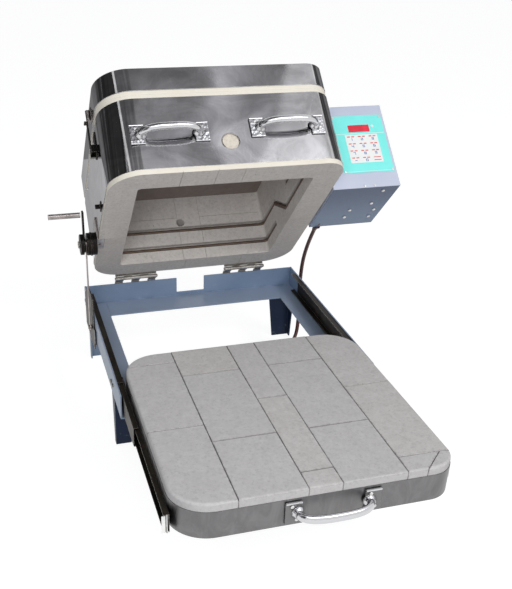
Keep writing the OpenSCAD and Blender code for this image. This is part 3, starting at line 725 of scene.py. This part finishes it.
def hood_bricks():
    ring = copy_of("ring_brick")
    shift_points(ring, tight_corner, HOOD)
    cutter = bmesh.new()
    w = 0.00045
    for axis, at, span, zs in RIM_JOINTS:
        add_box(cutter, (at / 1000 - w, span[0] / 1000, zs[0] / 1000), (at / 1000 + w, span[1] / 1000, zs[1] / 1000), HOOD)
    for axis, at, span, zs in SIDE_JOINTS:
        add_box(cutter, (span[0] / 1000, at / 1000 - w, zs[0] / 1000), (span[1] / 1000, at / 1000 + w, zs[1] / 1000), HOOD)
    for xs, ys, z in COURSES:
        add_box(cutter, (xs[0] / 1000, ys[0] / 1000, z / 1000 - w), (xs[1] / 1000, ys[1] / 1000, z / 1000 + w), HOOD)
    tool = bpy.data.objects.new("joints", mesh_of(cutter))
    bpy.context.scene.collection.objects.link(tool)
    obj = bpy.data.objects.new("hood_bricks", ring)
    bpy.context.scene.collection.objects.link(obj)
    mod = obj.modifiers.new("joints", "BOOLEAN")
    mod.operation, mod.solver, mod.object, mod.use_self = "DIFFERENCE", "EXACT", tool, True
    bake(obj)
    ring = obj.data
    bpy.data.objects.remove(obj)
    bpy.data.objects.remove(tool)
    obj = piece("hood_bricks", ring, "hood_brick", "hood", "ring_brick", 30, 0.0007)
    hood_brick_marks(obj)
    lid = dress("lid_brick", "hood_brick", 0.0009, move=tight_corner, m=HOOD)
    hood_brick_marks(lid)
    dress("peephole_plug", "plug_brick", 0.0015)
    bm = bmesh.new()
    lathe(bm, [(0.0176, -0.001), (0.0176, 0.0012), (0.0182, 0.0016), (0.0190, 0.0010), (0.0194, 0.0), (0.0194, -0.001)],
          axis_frame((0.0043, 0, 0.062), (0, -1, 0), HOOD), 48, caps=False)
    piece("peephole_rim", mesh_of(bm), "shell_steel", "hood", None, 50)


def cast_pull(name, node, m, half, body, plate, screws=((0.012, 0.013), (0.02, -0.013))):
    """Cast pull: two plates with rounded edges, a bowed oval bar that thickens into them, two screws each."""
    reach, foot = 0.034, half - 0.022
    bm = bmesh.new()
    for s in (-1, 1):
        a, b = sorted((s * half, s * (half - 0.030)))
        add_box(bm, (a, -0.0042, -0.0215), (b, -0.0002, 0.0215), m, 0.0014, 3)
    piece(name + "_plates", mesh_of(bm), plate, body, None, 40)
    bm = bmesh.new()
    for s in (-1, 1):
        a, b = sorted((s * half, s * (half - 0.030)))
        add_box(bm, (a + 0.0005, -0.0060, 0.0180), (b - 0.0005, -0.0008, 0.0216), m, 0.0012, 2)
        lathe(bm, [(0.0122, 0.0), (0.0116, 0.0022), (0.0098, 0.0048), (0.0078, 0.0085)],
              axis_frame((s * foot, -0.0036, 0), (0, -1, 0), m), 32)
    points, n = [], 48
    for i in range(n + 1):
        t = math.pi * i / n
        c, q = math.cos(t), math.sin(t)
        points.append(m @ Vector((-foot * math.copysign(abs(c) ** 0.74, c), -0.004 - (reach - 0.0056) * abs(q) ** 0.74, 0)))

    def oval(i):
        t = abs(2 * i / n - 1)
        wide, thick = 0.0078 + 0.0010 * t ** 6, 0.0062 + 0.0016 * t ** 6
        return [(wide * math.cos(2 * math.pi * j / 28), thick * math.sin(2 * math.pi * j / 28)) for j in range(28)]

    sweep(bm, points, oval, m.to_3x3() @ Vector((0, 0, 1)))
    piece(name, mesh_of(bm), "chrome", body, node, 40)
    bm = bmesh.new()
    for s in (-1, 1):
        for dx, dz in screws:
            add_screw(bm, axis_frame((s * (half - dx), -0.0042, dz if s < 0 else -dz), (0, -1, 0), m, 0.7), 0.0034, 0.0017)
    piece(name + "_screws", mesh_of(bm), "screw", body, None, 40)


def hood_shells():
    dress("ring_shell", "shell_steel", 0.0004, move=tight_corner, m=HOOD)
    dress("lid_shell", "shell_steel", 0.0014, 3, move=tight_corner, m=HOOD)
    bm = bmesh.new()
    for z in (0.028, 0.09, 0.152, 0.212):
        add_screw(bm, axis_frame((0.118, HOOD_D, z), (0, 1, 0), HOOD, z * 40), 0.0036, 0.002)
    for y, z in ((0.202, 0.194), (0.193, 0.165)):
        add_screw(bm, axis_frame((-HALF, y, z), (-1, 0, 0), HOOD, y * 30), 0.0034, 0.002)
    for s in (-1, 1):
        for y in (0.15, 0.36):
            add_screw(bm, axis_frame((s * HALF, y, 0.1596), (s, 0, 0), HOOD, y * 17), 0.0028, 0.0016)
    piece("jacket_screws", mesh_of(bm), "screw", "hood", None, 40)
    bm = bmesh.new()
    for z0, z1 in ((0.0106, 0.1696), (0.1872, 0.2382)):
        add_box(bm, (0.106, HOOD_D - 0.0002, z0), (0.168, HOOD_D + 0.0008, z1), HOOD, 0.0004, 1)
    piece("jacket_laps", mesh_of(bm), "shell_steel", "hood", None, 40)
    bm = bmesh.new()
    add_box(bm, (-HALF - 0.0016, 0.172, 0.018), (-HALF, 0.192, 0.034), HOOD, 0.0005, 1)
    add_box(bm, (-HALF - 0.012, 0.1795, 0.0215), (-HALF - 0.001, 0.1845, 0.0305), HOOD, 0.0006, 1)
    piece("side_clip", mesh_of(bm), "black", "hood", None, 40)


# ---------------------------------------------------------------- tray
BRICK_COLUMNS = [(0, 104, (224, 461)), (104, 222, (168, 402)), (222, 281, (44.7, 284.5)),
                 (281, 397, (167, 403.6)), (397, 495, (43, 286))]


def outline(w, d, r, steps=14):
    """Rounded rectangle, counterclockwise, its front edge at Y 0."""
    pts = []
    for cx, cy, a0 in ((w / 2 - r, r, -90), (w / 2 - r, d - r, 0), (r - w / 2, d - r, 90), (r - w / 2, r, 180)):
        for i in range(steps + 1):
            a = math.radians(a0 + 90 * i / steps)
            pts.append((cx + r * math.cos(a), cy + r * math.sin(a)))
    return pts


def clip(points, across, limit, keep_above):
    """Cuts a convex outline at a line: limit is its distance from the origin along across."""
    out = []
    for p, q in zip(points, points[1:] + points[:1]):
        a, b = ((v[0] * across[0] + v[1] * across[1] - limit) * (1 if keep_above else -1) for v in (p, q))
        if a >= 0:
            out.append(p)
        if a * b < 0:
            t = a / (a - b)
            out.append(tuple(u + (v - u) * t for u, v in zip(p, q)))
    return out


def tray_bricks():
    """Each brick of the slab is its own solid, cut to the rounded tray, with soft broken edges."""
    w, d, r = TRAY_W - 2 * SHEET, TRAY_D - 2 * SHEET, CORNER - SHEET
    whole = outline(w, d, r)
    base = Vector((0, TRAY_FRONT + SHEET, TRAY_TOP - TRAY_H + SHEET)) - ORIGIN
    high = TRAY_H - SHEET
    bm = bmesh.new()
    weight = bm.edges.layers.float.new("bevel_weight_edge")
    tint = bm.faces.layers.float.new("tint")
    seam = bm.faces.layers.float.new("seam")
    edge = bm.faces.layers.float.new("edge")
    gap_x, gap_y, crack = 0.0004, 0.0008, HALF - 0.062
    outlines = []
    for x0, x1, cuts in BRICK_COLUMNS:
        rows = [-5, *cuts, 520]
        for y0, y1 in zip(rows, rows[1:]):
            poly = clip(whole, (1, 0), (x0 if x0 else -9) / 1000 - HALF + gap_x, True)
            poly = clip(poly, (1, 0), (x1 if x1 < 495 else 510) / 1000 - HALF - gap_x, False)
            poly = clip(poly, (0, 1), y0 / 1000 + gap_y, True)
            outlines.append(clip(poly, (0, 1), y1 / 1000 - gap_y, False))
    # The front right corner has broken off along a slanting crack.
    corner = max(outlines, key=lambda poly: max(x - y for x, y in poly))
    outlines.remove(corner)
    outlines += [clip(corner, (1, -1), crack - gap_x, False), clip(corner, (1, -1), crack + gap_x, True)]
    for poly in outlines:
        drop = random.uniform(0, 0.0004)
        lower = [bm.verts.new(base + Vector((x, y, 0))) for x, y in poly]
        upper = [bm.verts.new(base + Vector((x, y, high - drop))) for x, y in poly]
        shade = random.choice((0.25, 0.4, 0.7, 0.85, 1.0))
        top, n = bm.faces.new(upper), len(poly)
        faces = [top, bm.faces.new(lower[::-1])]
        for i in range(n):
            j = (i + 1) % n
            side = bm.faces.new((lower[i], lower[j], upper[j], upper[i]))
            mid = ((poly[i][0] + poly[j][0]) / 2, (poly[i][1] + poly[j][1]) / 2)
            dx = max(abs(mid[0]) - (w / 2 - r), 0)
            dy = max(abs(mid[1] - d / 2) - (d / 2 - r), 0)
            outer = math.hypot(dx, dy) > r - 0.0006
            bm.edges.get((upper[i], upper[j]))[weight] = 1.0 if outer else 0.22
            side[seam] = 0.0 if outer else 1.0
            side[edge] = 1.0 if outer else 0.0
            faces.append(side)
        for f in faces:
            f[tint] = shade
    bmesh.ops.recalc_face_normals(bm, faces=bm.faces)
    mesh = bpy.data.meshes.new("tray_bricks")
    bm.to_mesh(mesh)
    bm.free()
    shift_points(mesh, spread, TRAY)
    obj = bpy.data.objects.new("tmp", mesh)
    bpy.context.scene.collection.objects.link(obj)
    mod = obj.modifiers.new("edge", "BEVEL")
    mod.width, mod.segments, mod.limit_method = 0.0052, 4, "WEIGHT"
    bake(obj)
    mesh = obj.data
    bpy.data.objects.remove(obj)
    return piece("tray_bricks", mesh, "tray_brick", "tray", "tray_brick", 40)


def tray():
    tray_bricks()
    dress("tray_pan", "pan_steel", 0.0006, move=spread, m=TRAY)
    at = DRAWN @ Matrix.Translation((0.0195, TRAY_FRONT, TRAY_TOP - 0.041))
    cast_pull("tray_pull", "tray_handle", at, 0.085, "tray", "dull_plate")


# ---------------------------------------------------------------- stand
def wide_leg(x, y, z):
    """The rear legs reach 13 mm further in than the front ones."""
    return (x - math.copysign(0.013, x) if abs(x) < 0.2315 else x), y, z


def worn_rear_rail(x, y, z):
    """The rear rail's top edge is filed down, the floor of its notch lies deeper, its right end sits in."""
    if z > 0.17:
        z -= 0.0022
    elif z > 0.145:
        z -= 0.0055
    return (x - 0.004 if x > 0.26 else x), y, z


def stand():
    for node in ("rail_left", "rail_front"):
        dress(node, "stand_blue", 0.0009, 2)
    dress("rail_right", "stand_blue", 0.0009, 2, move=lambda x, y, z: (x - 0.0015 * max(0, y) / 0.2665, y, z))
    dress("rail_rear", "stand_blue", 0.0009, 2, move=worn_rear_rail)
    # Legs get the darker copies of the stand's paint: painted shade.
    for node in ("leg_front_left", "leg_front_right"):
        dress(node, "leg_painted_deep_shade", 0.0008, 2)
    dress("leg_rear_left", "leg_painted_half_shade", 0.0008, 2, move=wide_leg)
    dress("leg_rear_right", "leg_painted_deep_shade", 0.0008, 2, move=wide_leg)
    bm = bmesh.new()
    for s in (-1, 1):
        for y in (-0.160, 0.240):
            for dy in (-0.009, 0.009):
                add_screw(bm, axis_frame((s * 0.2665, y + dy, 0.158), (s, 0, 0), DRAWN, y), 0.0042, 0.0026, "hex")
    piece("leg_bolts", mesh_of(bm), "zinc", "stand", None, 30)


def slides():
    """The members' front ends stop short of the CAD ones, as photographed; a tab and a lip end the inner ones."""
    for side, s in (("left", -1), ("right", 1)):
        for part, short in (("outer", 0.025), ("middle", 0.059), ("inner", 0.006 if s < 0 else 0.024)):
            low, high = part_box(f"slide_{part}_{side}")
            middle = (low.y + high.y) / 2 + ORIGIN.y
            dress(f"slide_{part}_{side}", "slide_steel", 0.0005,
                  move=lambda x, y, z, middle=middle, short=short: (x, y + short if y < middle else y, z))
        dress(f"slide_tab_{side}", "screw", 0.0004,
              move=lambda x, y, z, short=short: (x if abs(x) > 0.255 else math.copysign(0.2545, x), y + short, z))
        bm = bmesh.new()
        y = TRAY_FRONT + 0.026 + short
        add_box(bm, (s * 0.2530, y, 0.1475), (s * 0.2512, y + 0.003, 0.1835), DRAWN, 0.0004, 1)
        add_box(bm, (s * 0.2530, y, 0.1475), (s * 0.2480, y + 0.003, 0.1500), DRAWN, 0.0004, 1)
        piece(f"slide_lip_{side}", mesh_of(bm), "screw", "tray", None, 40)


def hinges():
    for side, x in (("left", -0.1415), ("right", 0.133)):
        dress(f"hinge_lower_{side}", "zinc", 0.0004)
        dress(f"hinge_upper_{side}", "zinc", 0.0004, m=HOOD,
              move=lambda x, y, z: (x, y, z - 0.0058 if abs(z - 0.0017) < 0.0005 else z))
        dress(f"hinge_pin_{side}", "zinc", 0.0005)
    bm, hood = bmesh.new(), bmesh.new()
    for x in (-0.1415, 0.133):
        for dx in (-0.036, 0, 0.036):
            add_screw(bm, axis_frame((x + dx, 0.2685, 0.1706 - 0.006 * (dx == 0)), (0, 1, 0), DRAWN, dx * 50), 0.0038, 0.0018)
            add_screw(hood, axis_frame((x + dx, HOOD_D + 0.002, 0.0185 - 0.004 * (dx == 0)), (0, 1, 0), HOOD, dx * 70), 0.0038, 0.0018)
    piece("hinge_screws_stand", mesh_of(bm), "screw", "stand", None, 40)
    piece("hinge_screws_hood", mesh_of(hood), "screw", "hood", None, 40)


def clamp_and_stay():
    dress("drum_outer", "black", 0.0005, move=lambda x, y, z: (x + 0.0036, y, z))
    dress("clamp_lever", "black", 0.0005, move=lambda x, y, z: (x + 0.003, y, z))
    dress("clamp_bolt", "zinc", 0.0005, move=lambda x, y, z: (x + 0.0065 if x < -0.28 else x, y, z))
    for node, material in (("stay_bracket", "arm"), ("drum_inner", "black"),
                           ("stay_arm", "arm"), ("stay_foot_bolt", "zinc"), ("guide_clip", "black"), ("latch_base", "black"), ("latch_strike", "arm"),
                           ("latch_lever", "black")):
        dress(node, material, 0.0005)
    dress("lever_grip", "arm", 0.0005, move=lambda x, y, z: (x + 0.009 if x < -0.33 else x, y, z))
    dress("guide_plate", "slide_steel", 0.0005, move=lambda x, y, z: (x, y, max(z, 0.108)))


# ---------------------------------------------------------------- control box
BOX_LOW, BOX_HIGH = Vector((0.2525, 0.128, 0)), Vector((0.4135, 0.323, 0.2075))
PANEL_LOW, PANEL_HIGH = Vector((0.2858, 0.127, 0.0368)), Vector((0.4074, 0.128, 0.1818))
DISPLAY_LOW, DISPLAY_HIGH = Vector((0.3208, 0.126, 0.1391)), Vector((0.3718, 0.127, 0.1569))
KEYPAD_LOW, KEYPAD_HIGH = Vector((0.3087, 0.1262, 0.0612)), Vector((0.3871, 0.127, 0.1325))
GLAND_SHIFT = Vector((0, BOX_HIGH.y - 0.280, 0.0015))


def fill_box(node, material, low, high, bevel, segments=1):
    """A box-shaped node of the control box, fitted to its photographed corners in the hood's frame."""
    mesh = copy_of(node)
    back = HOOD.inverted()
    points = [back @ v.co for v in mesh.vertices]
    a = [min(p[i] for p in points) for i in range(3)]
    b = [max(p[i] for p in points) for i in range(3)]
    for v, p in zip(mesh.vertices, points):
        v.co = HOOD @ Vector([low[i] + (p[i] - a[i]) / (b[i] - a[i]) * (high[i] - low[i]) for i in range(3)])
    piece(node + "_finished", mesh, material, "hood", node, 35, bevel, segments)


def control_box():
    fill_box("control_box", "box_blue", BOX_LOW, BOX_HIGH, 0.0016, 3)
    dress("box_mounts", "zinc", 0.0006, move=lambda x, y, z: (x, y + 0.036, z), m=HOOD)
    fill_box("control_panel", "panel", PANEL_LOW, PANEL_HIGH, 0.0003)
    fill_box("display_window", "display", DISPLAY_LOW, DISPLAY_HIGH, 0.0003)
    fill_box("keypad", "key_white", KEYPAD_LOW, KEYPAD_HIGH, 0.0003)
    bm = bmesh.new()
    for x, y in ((0.3775, 0.1477), (0.3724, 0.2109), (0.3908, 0.2456), (0.3908, 0.2823), (0.3285, 0.2405), (0.3275, 0.2772)):
        add_screw(bm, axis_frame((x, y, 0), (0, 0, -1), HOOD, x * 90), 0.0042, 0.0026)
    for x in (0.328, 0.352):
        add_screw(bm, axis_frame((x, BOX_LOW.y, 0.004), (0, -1, 0), HOOD, x * 50), 0.0028, 0.0015)
    for x in (PANEL_LOW.x + 0.004, PANEL_HIGH.x - 0.004):
        for z in (PANEL_LOW.z + 0.004, PANEL_HIGH.z - 0.004):
            add_screw(bm, axis_frame((x, PANEL_LOW.y, z), (0, -1, 0), HOOD, x * 60 + z * 99), 0.0026, 0.0014)
    piece("box_screws", mesh_of(bm), "screw", "hood", None, 40)
    marks()


SEGMENTS = {"a": (0, 1, 1, 1), "g": (0, 0, 1, 0), "d": (0, -1, 1, -1), "f": (0, 0, 0, 1), "b": (1, 0, 1, 1),
            "e": (0, -1, 0, 0), "c": (1, -1, 1, 0)}
DIGITS = ["abcdef", "bc", "abged", "abgcd", "fgbc", "afgcd", "afgedc", "abc", "abcdefg", "abcdfg"]


def marks():
    """Plain key marks: a red bar pair over a blue number on each key, the last key all red."""
    front = KEYPAD_LOW.y
    key = Vector(((KEYPAD_HIGH.x - KEYPAD_LOW.x) / 3, 0, (KEYPAD_HIGH.z - KEYPAD_LOW.z) / 4))
    red, blue, white = bmesh.new(), bmesh.new(), bmesh.new()

    def bar(bm, x0, z0, x1, z1, lift=0.00012):
        add_box(bm, (min(x0, x1), front - lift, min(z0, z1)), (max(x0, x1), front + 0.0002, max(z0, z1)), HOOD)

    for row in range(4):
        for col in range(3):
            x, z = KEYPAD_LOW.x + key.x * (col + 0.5), KEYPAD_HIGH.z - key.z * (row + 0.5)
            if (row, col) == (3, 2):
                for dz in (0.0035, -0.0035):
                    bar(red, x - 0.0085, z + dz - 0.0009, x + 0.0085, z + dz + 0.0009)
                continue
            for dx in (-0.0085, 0.0015):
                bar(red, x + dx, z + 0.0024, x + dx + 0.0068, z + 0.0048)
            number = DIGITS[(3 * row + col + 1) if row < 3 else 0] if (row, col) != (3, 0) else "g"
            for s in number:
                a, b, c, d = SEGMENTS[s]
                u, h, t = 0.0042, 0.0026, 0.00055
                bar(blue, x - u / 2 + a * u - t, z - 0.0030 + b * h - t, x - u / 2 + c * u + t, z - 0.0030 + d * h + t)
    piece("key_marks_red", mesh_of(red), "key_red", "hood")
    piece("key_marks_blue", mesh_of(blue), "key_blue", "hood")
    face, left, right = PANEL_LOW.y, PANEL_LOW.x + 0.002, PANEL_HIGH.x - 0.002
    add_box(white, (left, face - 0.0001, KEYPAD_HIGH.z + 0.0023), (right, face + 0.0002, KEYPAD_HIGH.z + 0.0033), HOOD)
    add_box(white, (left, face - 0.0001, PANEL_LOW.z + 0.0029), (right, face + 0.0002, PANEL_LOW.z + 0.0035), HOOD)
    lathe(white, [(0.0032, -0.0002), (0.0032, 0.0006), (0.0024, 0.0012)],
          axis_frame((DISPLAY_HIGH.x + 0.009, face, 0.153), (0, -1, 0), HOOD), 24)
    piece("panel_lines", mesh_of(white), "key_white", "hood")


hood_bricks()
hood_shells()
cast_pull("hood_pull_left", "handle_left", HOOD @ Matrix.Translation((-0.117, 0, 0.086)), 0.080, "hood", "chrome_plate")
cast_pull("hood_pull_right", "handle_right", HOOD @ Matrix.Translation((0.129, 0, 0.089)), 0.080, "hood", "chrome_plate")
dress("element_lower", "element", 0)
dress("element_upper", "element", 0)
tray()
stand()
slides()
hinges()
clamp_and_stay()
control_box()
gland = dress("cord_gland", "cord", 0.0005, move=lambda x, y, z: Vector((x, y, z)) + GLAND_SHIFT, m=HOOD)
plug = dress("cord_plug", "cord", 0.001)
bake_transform(cord)


# ---------------------------------------------------------------- light and floor
def stage_light():
    scene = bpy.context.scene
    scene.view_settings.view_transform = "Standard"
    scene.view_settings.look = "None"
    world = bpy.data.worlds.new("studio")
    scene.world = world
    world.use_nodes = True
    t = world.node_tree
    t.nodes.clear()
    path = t.nodes.new("ShaderNodeLightPath")
    a = t.nodes.new("ShaderNodeMath"); a.operation = "ADD"
    b = t.nodes.new("ShaderNodeMath"); b.operation = "ADD"; b.use_clamp = True
    t.links.new(path.outputs["Is Camera Ray"], a.inputs[0])
    t.links.new(path.outputs["Is Glossy Ray"], a.inputs[1])
    t.links.new(a.outputs[0], b.inputs[0])
    t.links.new(path.outputs["Is Transmission Ray"], b.inputs[1])
    soft, white = t.nodes.new("ShaderNodeBackground"), t.nodes.new("ShaderNodeBackground")
    soft.inputs["Color"].default_value = (0.96, 0.98, 1, 1)
    soft.inputs["Strength"].default_value = 0.35
    white.inputs["Strength"].default_value = 1.0
    white.inputs["Color"].default_value = (1, 1, 1, 1)
    mix, out = t.nodes.new("ShaderNodeMixShader"), t.nodes.new("ShaderNodeOutputWorld")
    t.links.new(b.outputs[0], mix.inputs[0])
    t.links.new(soft.outputs[0], mix.inputs[1])
    t.links.new(white.outputs[0], mix.inputs[2])
    t.links.new(mix.outputs[0], out.inputs[0])

    bm = bmesh.new()
    bmesh.ops.create_grid(bm, x_segments=1, y_segments=1, size=20)
    floor = bpy.data.objects.new("floor", mesh_of(bm, "floor"))
    scene.collection.objects.link(floor)
    material = bpy.data.materials.new("floor")
    material.use_nodes = True
    t = material.node_tree
    bsdf = t.nodes["Principled BSDF"]
    bsdf.inputs["Base Color"].default_value = (0.30, 0.30, 0.30, 1)
    bsdf.inputs["Roughness"].default_value = 1
    bsdf.inputs["Specular IOR Level"].default_value = 0
    bsdf.inputs["Emission Color"].default_value = (1, 1, 1, 1)
    path = t.nodes.new("ShaderNodeLightPath")
    a = t.nodes.new("ShaderNodeMath"); a.operation = "ADD"
    b = t.nodes.new("ShaderNodeMath"); b.operation = "ADD"; b.use_clamp = True
    c = t.nodes.new("ShaderNodeMapRange")
    t.links.new(path.outputs["Is Camera Ray"], a.inputs[0])
    t.links.new(path.outputs["Is Glossy Ray"], a.inputs[1])
    t.links.new(a.outputs[0], b.inputs[0])
    t.links.new(path.outputs["Is Transmission Ray"], b.inputs[1])
    t.links.new(b.outputs[0], c.inputs["Value"])
    c.inputs["To Min"].default_value, c.inputs["To Max"].default_value = 0.13, 0.87
    t.links.new(c.outputs[0], bsdf.inputs["Emission Strength"])
    floor.data.materials.append(material)

    def lamp(name, at, aim, size, power, color=(1, 1, 1), glossy=True):
        data = bpy.data.lights.new(name, "AREA")
        data.shape, data.size, data.size_y, data.energy, data.color = "RECTANGLE", size[0], size[1], power, color
        obj = bpy.data.objects.new(name, data)
        scene.collection.objects.link(obj)
        direction = (Vector(aim) - Vector(at)).normalized()
        obj.matrix_world = Matrix.Translation(at) @ direction.to_track_quat("-Z", "Y").to_matrix().to_4x4()
        obj.visible_glossy = glossy

    lamp("key", (1.7, -2.6, 3.0), (0, 0, 0.3), (1.4, 1.4), 57, (1, 0.985, 0.96), False)
    lamp("fill", (-0.9, -2.6, 1.5), (0, 0, 0.3), (1.4, 1.0), 33, (0.98, 0.99, 1), False)

    def painted_sky(tree, glow, where, mottle, cloud, paint):
        """Levels across X, mottled, and past a curved border one light tone: the room that the hood mirrors."""
        def calc(op, a, b=0.0):
            n = tree.nodes.new("ShaderNodeMath")
            n.operation = op
            for v, socket in ((a, n.inputs[0]), (b, n.inputs[1])):
                if isinstance(v, bpy.types.NodeSocket):
                    tree.links.new(v, socket)
                else:
                    socket.default_value = v
            return n.outputs[0]

        axes = tree.nodes.new("ShaderNodeSeparateXYZ")
        tree.links.new(where, axes.inputs[0])
        x, y = axes.outputs[0], axes.outputs[1]
        wavy = calc("ADD", x, calc("MULTIPLY", calc("SUBTRACT", cloud, 0.5), 0.30))
        span = tree.nodes.new("ShaderNodeMapRange")
        tree.links.new(wavy, span.inputs["Value"])
        first, last = paint["across"][0][0], paint["across"][-1][0]
        span.inputs["From Min"].default_value, span.inputs["From Max"].default_value = first, last
        levels = tree.nodes.new("ShaderNodeValToRGB")
        levels.color_ramp.elements.remove(levels.color_ramp.elements[1])
        for k, (at, level) in enumerate(paint["across"]):
            at = (at - first) / (last - first)
            e = levels.color_ramp.elements[0] if k == 0 else levels.color_ramp.elements.new(at)
            e.position, e.color = at, (level, level, level * 1.02, 1)
        tree.links.new(span.outputs[0], levels.inputs[0])
        room = tree.nodes.new("ShaderNodeMix")
        room.data_type, room.blend_type = "RGBA", "MULTIPLY"
        room.inputs["Factor"].default_value = 1.0
        tree.links.new(levels.outputs[0], room.inputs[6])
        tree.links.new(mottle, room.inputs[7])
        low = calc("MAXIMUM", calc("SUBTRACT", -0.45, y), 0.0)
        border = calc("ADD", calc("ADD", x, calc("MULTIPLY", calc("MULTIPLY", low, low), 1.9)),
                      calc("MULTIPLY", calc("SUBTRACT", cloud, 0.5), 0.08))
        edge = tree.nodes.new("ShaderNodeMapRange")
        tree.links.new(border, edge.inputs["Value"])
        edge.inputs["From Min"].default_value, edge.inputs["From Max"].default_value = 0.911, 0.918
        both = tree.nodes.new("ShaderNodeMix")
        both.data_type = "RGBA"
        tree.links.new(edge.outputs[0], both.inputs["Factor"])
        tree.links.new(room.outputs[2], both.inputs[6])
        both.inputs[7].default_value = (paint["light"], paint["light"] * 1.01, paint["light"] * 1.03, 1)
        tree.links.new(calc("ADD", calc("MULTIPLY", low, 3.0), 1.0), glow.inputs["Strength"])
        return both.outputs[2]

    def card(name, corners, paint):
        """A board of the studio that only shows in the polished steel."""
        bm = bmesh.new()
        bm.faces.new([bm.verts.new(c) for c in corners])
        obj = bpy.data.objects.new(name, mesh_of(bm, name))
        scene.collection.objects.link(obj)
        obj.visible_camera = obj.visible_diffuse = obj.visible_shadow = obj.visible_transmission = False
        m = bpy.data.materials.new(name)
        m.use_nodes = True
        tree = m.node_tree
        tree.nodes.clear()
        glow, out = tree.nodes.new("ShaderNodeEmission"), tree.nodes.new("ShaderNodeOutputMaterial")
        tree.links.new(glow.outputs[0], out.inputs[0])
        where = tree.nodes.new("ShaderNodeTexCoord")
        cloud = tree.nodes.new("ShaderNodeTexNoise")
        cloud.inputs["Scale"].default_value = paint["scale"]
        cloud.inputs["Detail"].default_value = 4
        cloud.inputs["Distortion"].default_value = 0.8
        stretch = tree.nodes.new("ShaderNodeVectorMath")
        stretch.operation = "MULTIPLY"
        stretch.inputs[1].default_value = paint["stretch"]
        tree.links.new(where.outputs["Object"], stretch.inputs[0])
        tree.links.new(stretch.outputs[0], cloud.inputs["Vector"])
        ramp = tree.nodes.new("ShaderNodeValToRGB")
        ramp.color_ramp.elements.remove(ramp.color_ramp.elements[1])
        for k, (at, level) in enumerate(paint["levels"]):
            e = ramp.color_ramp.elements[0] if k == 0 else ramp.color_ramp.elements.new(at)
            e.position, e.color = at, (level, level, level * 1.02, 1)
        tree.links.new(cloud.outputs["Fac"], ramp.inputs[0])
        tree.links.new(ramp.outputs[0], glow.inputs["Color"])
        if "across" in paint:
            tree.links.new(painted_sky(tree, glow, where.outputs["Object"], ramp.outputs[0], cloud.outputs["Fac"], paint),
                           glow.inputs["Color"])
        obj.data.materials.append(m)

    card("card_top", [(-1.6, -2.6, 3), (2.6, -2.6, 3), (2.6, 1.6, 3), (-1.6, 1.6, 3)],
         {"scale": 2.6, "stretch": (1, 1, 1), "levels": [(0.30, 0.55), (0.5, 0.95), (0.68, 1.6)],
          "across": [(-0.1, 0.17), (0.15, 0.22), (0.35, 0.26), (0.48, 0.32), (0.55, 0.38), (0.61, 0.80),
                     (0.70, 0.58), (0.80, 0.50), (0.87, 0.44), (0.90, 0.32)], "light": 0.80})
    card("card_left", [(-2.2, -2.4, 0.25), (-2.2, 2.6, 0.25), (-2.2, 2.6, 3.4), (-2.2, -2.4, 3.4)],
         {"scale": 2.2, "stretch": (1, 1, 0.05), "levels": [(0.42, 0.03), (0.56, 0.05), (0.6, 0.9), (0.66, 0.06)]})
    card("card_right", [(2.4, 0.2, 0), (2.4, 3.2, 0), (2.4, 3.2, 2.4), (2.4, 0.2, 2.4)],
         {"scale": 2.0, "stretch": (1, 1, 0.05), "levels": [(0.4, 0.08), (0.6, 0.3)]})
    card("card_back", [(-2.0, 1.1, 0), (0.1, 1.1, 0), (0.1, 1.1, 0.30), (-2.0, 1.1, 0.30)],
         {"scale": 2.0, "stretch": (1, 1, 0.3), "levels": [(0.4, 0.42), (0.6, 0.6)]})
    card("card_back_high", [(-2.0, 1.1, 0.30), (0.1, 1.1, 0.30), (0.1, 1.1, 1.4), (-2.0, 1.1, 1.4)],
         {"scale": 2.4, "stretch": (1, 1, 0.6), "levels": [(0.42, 0.05), (0.6, 0.22)]})


stage_light()
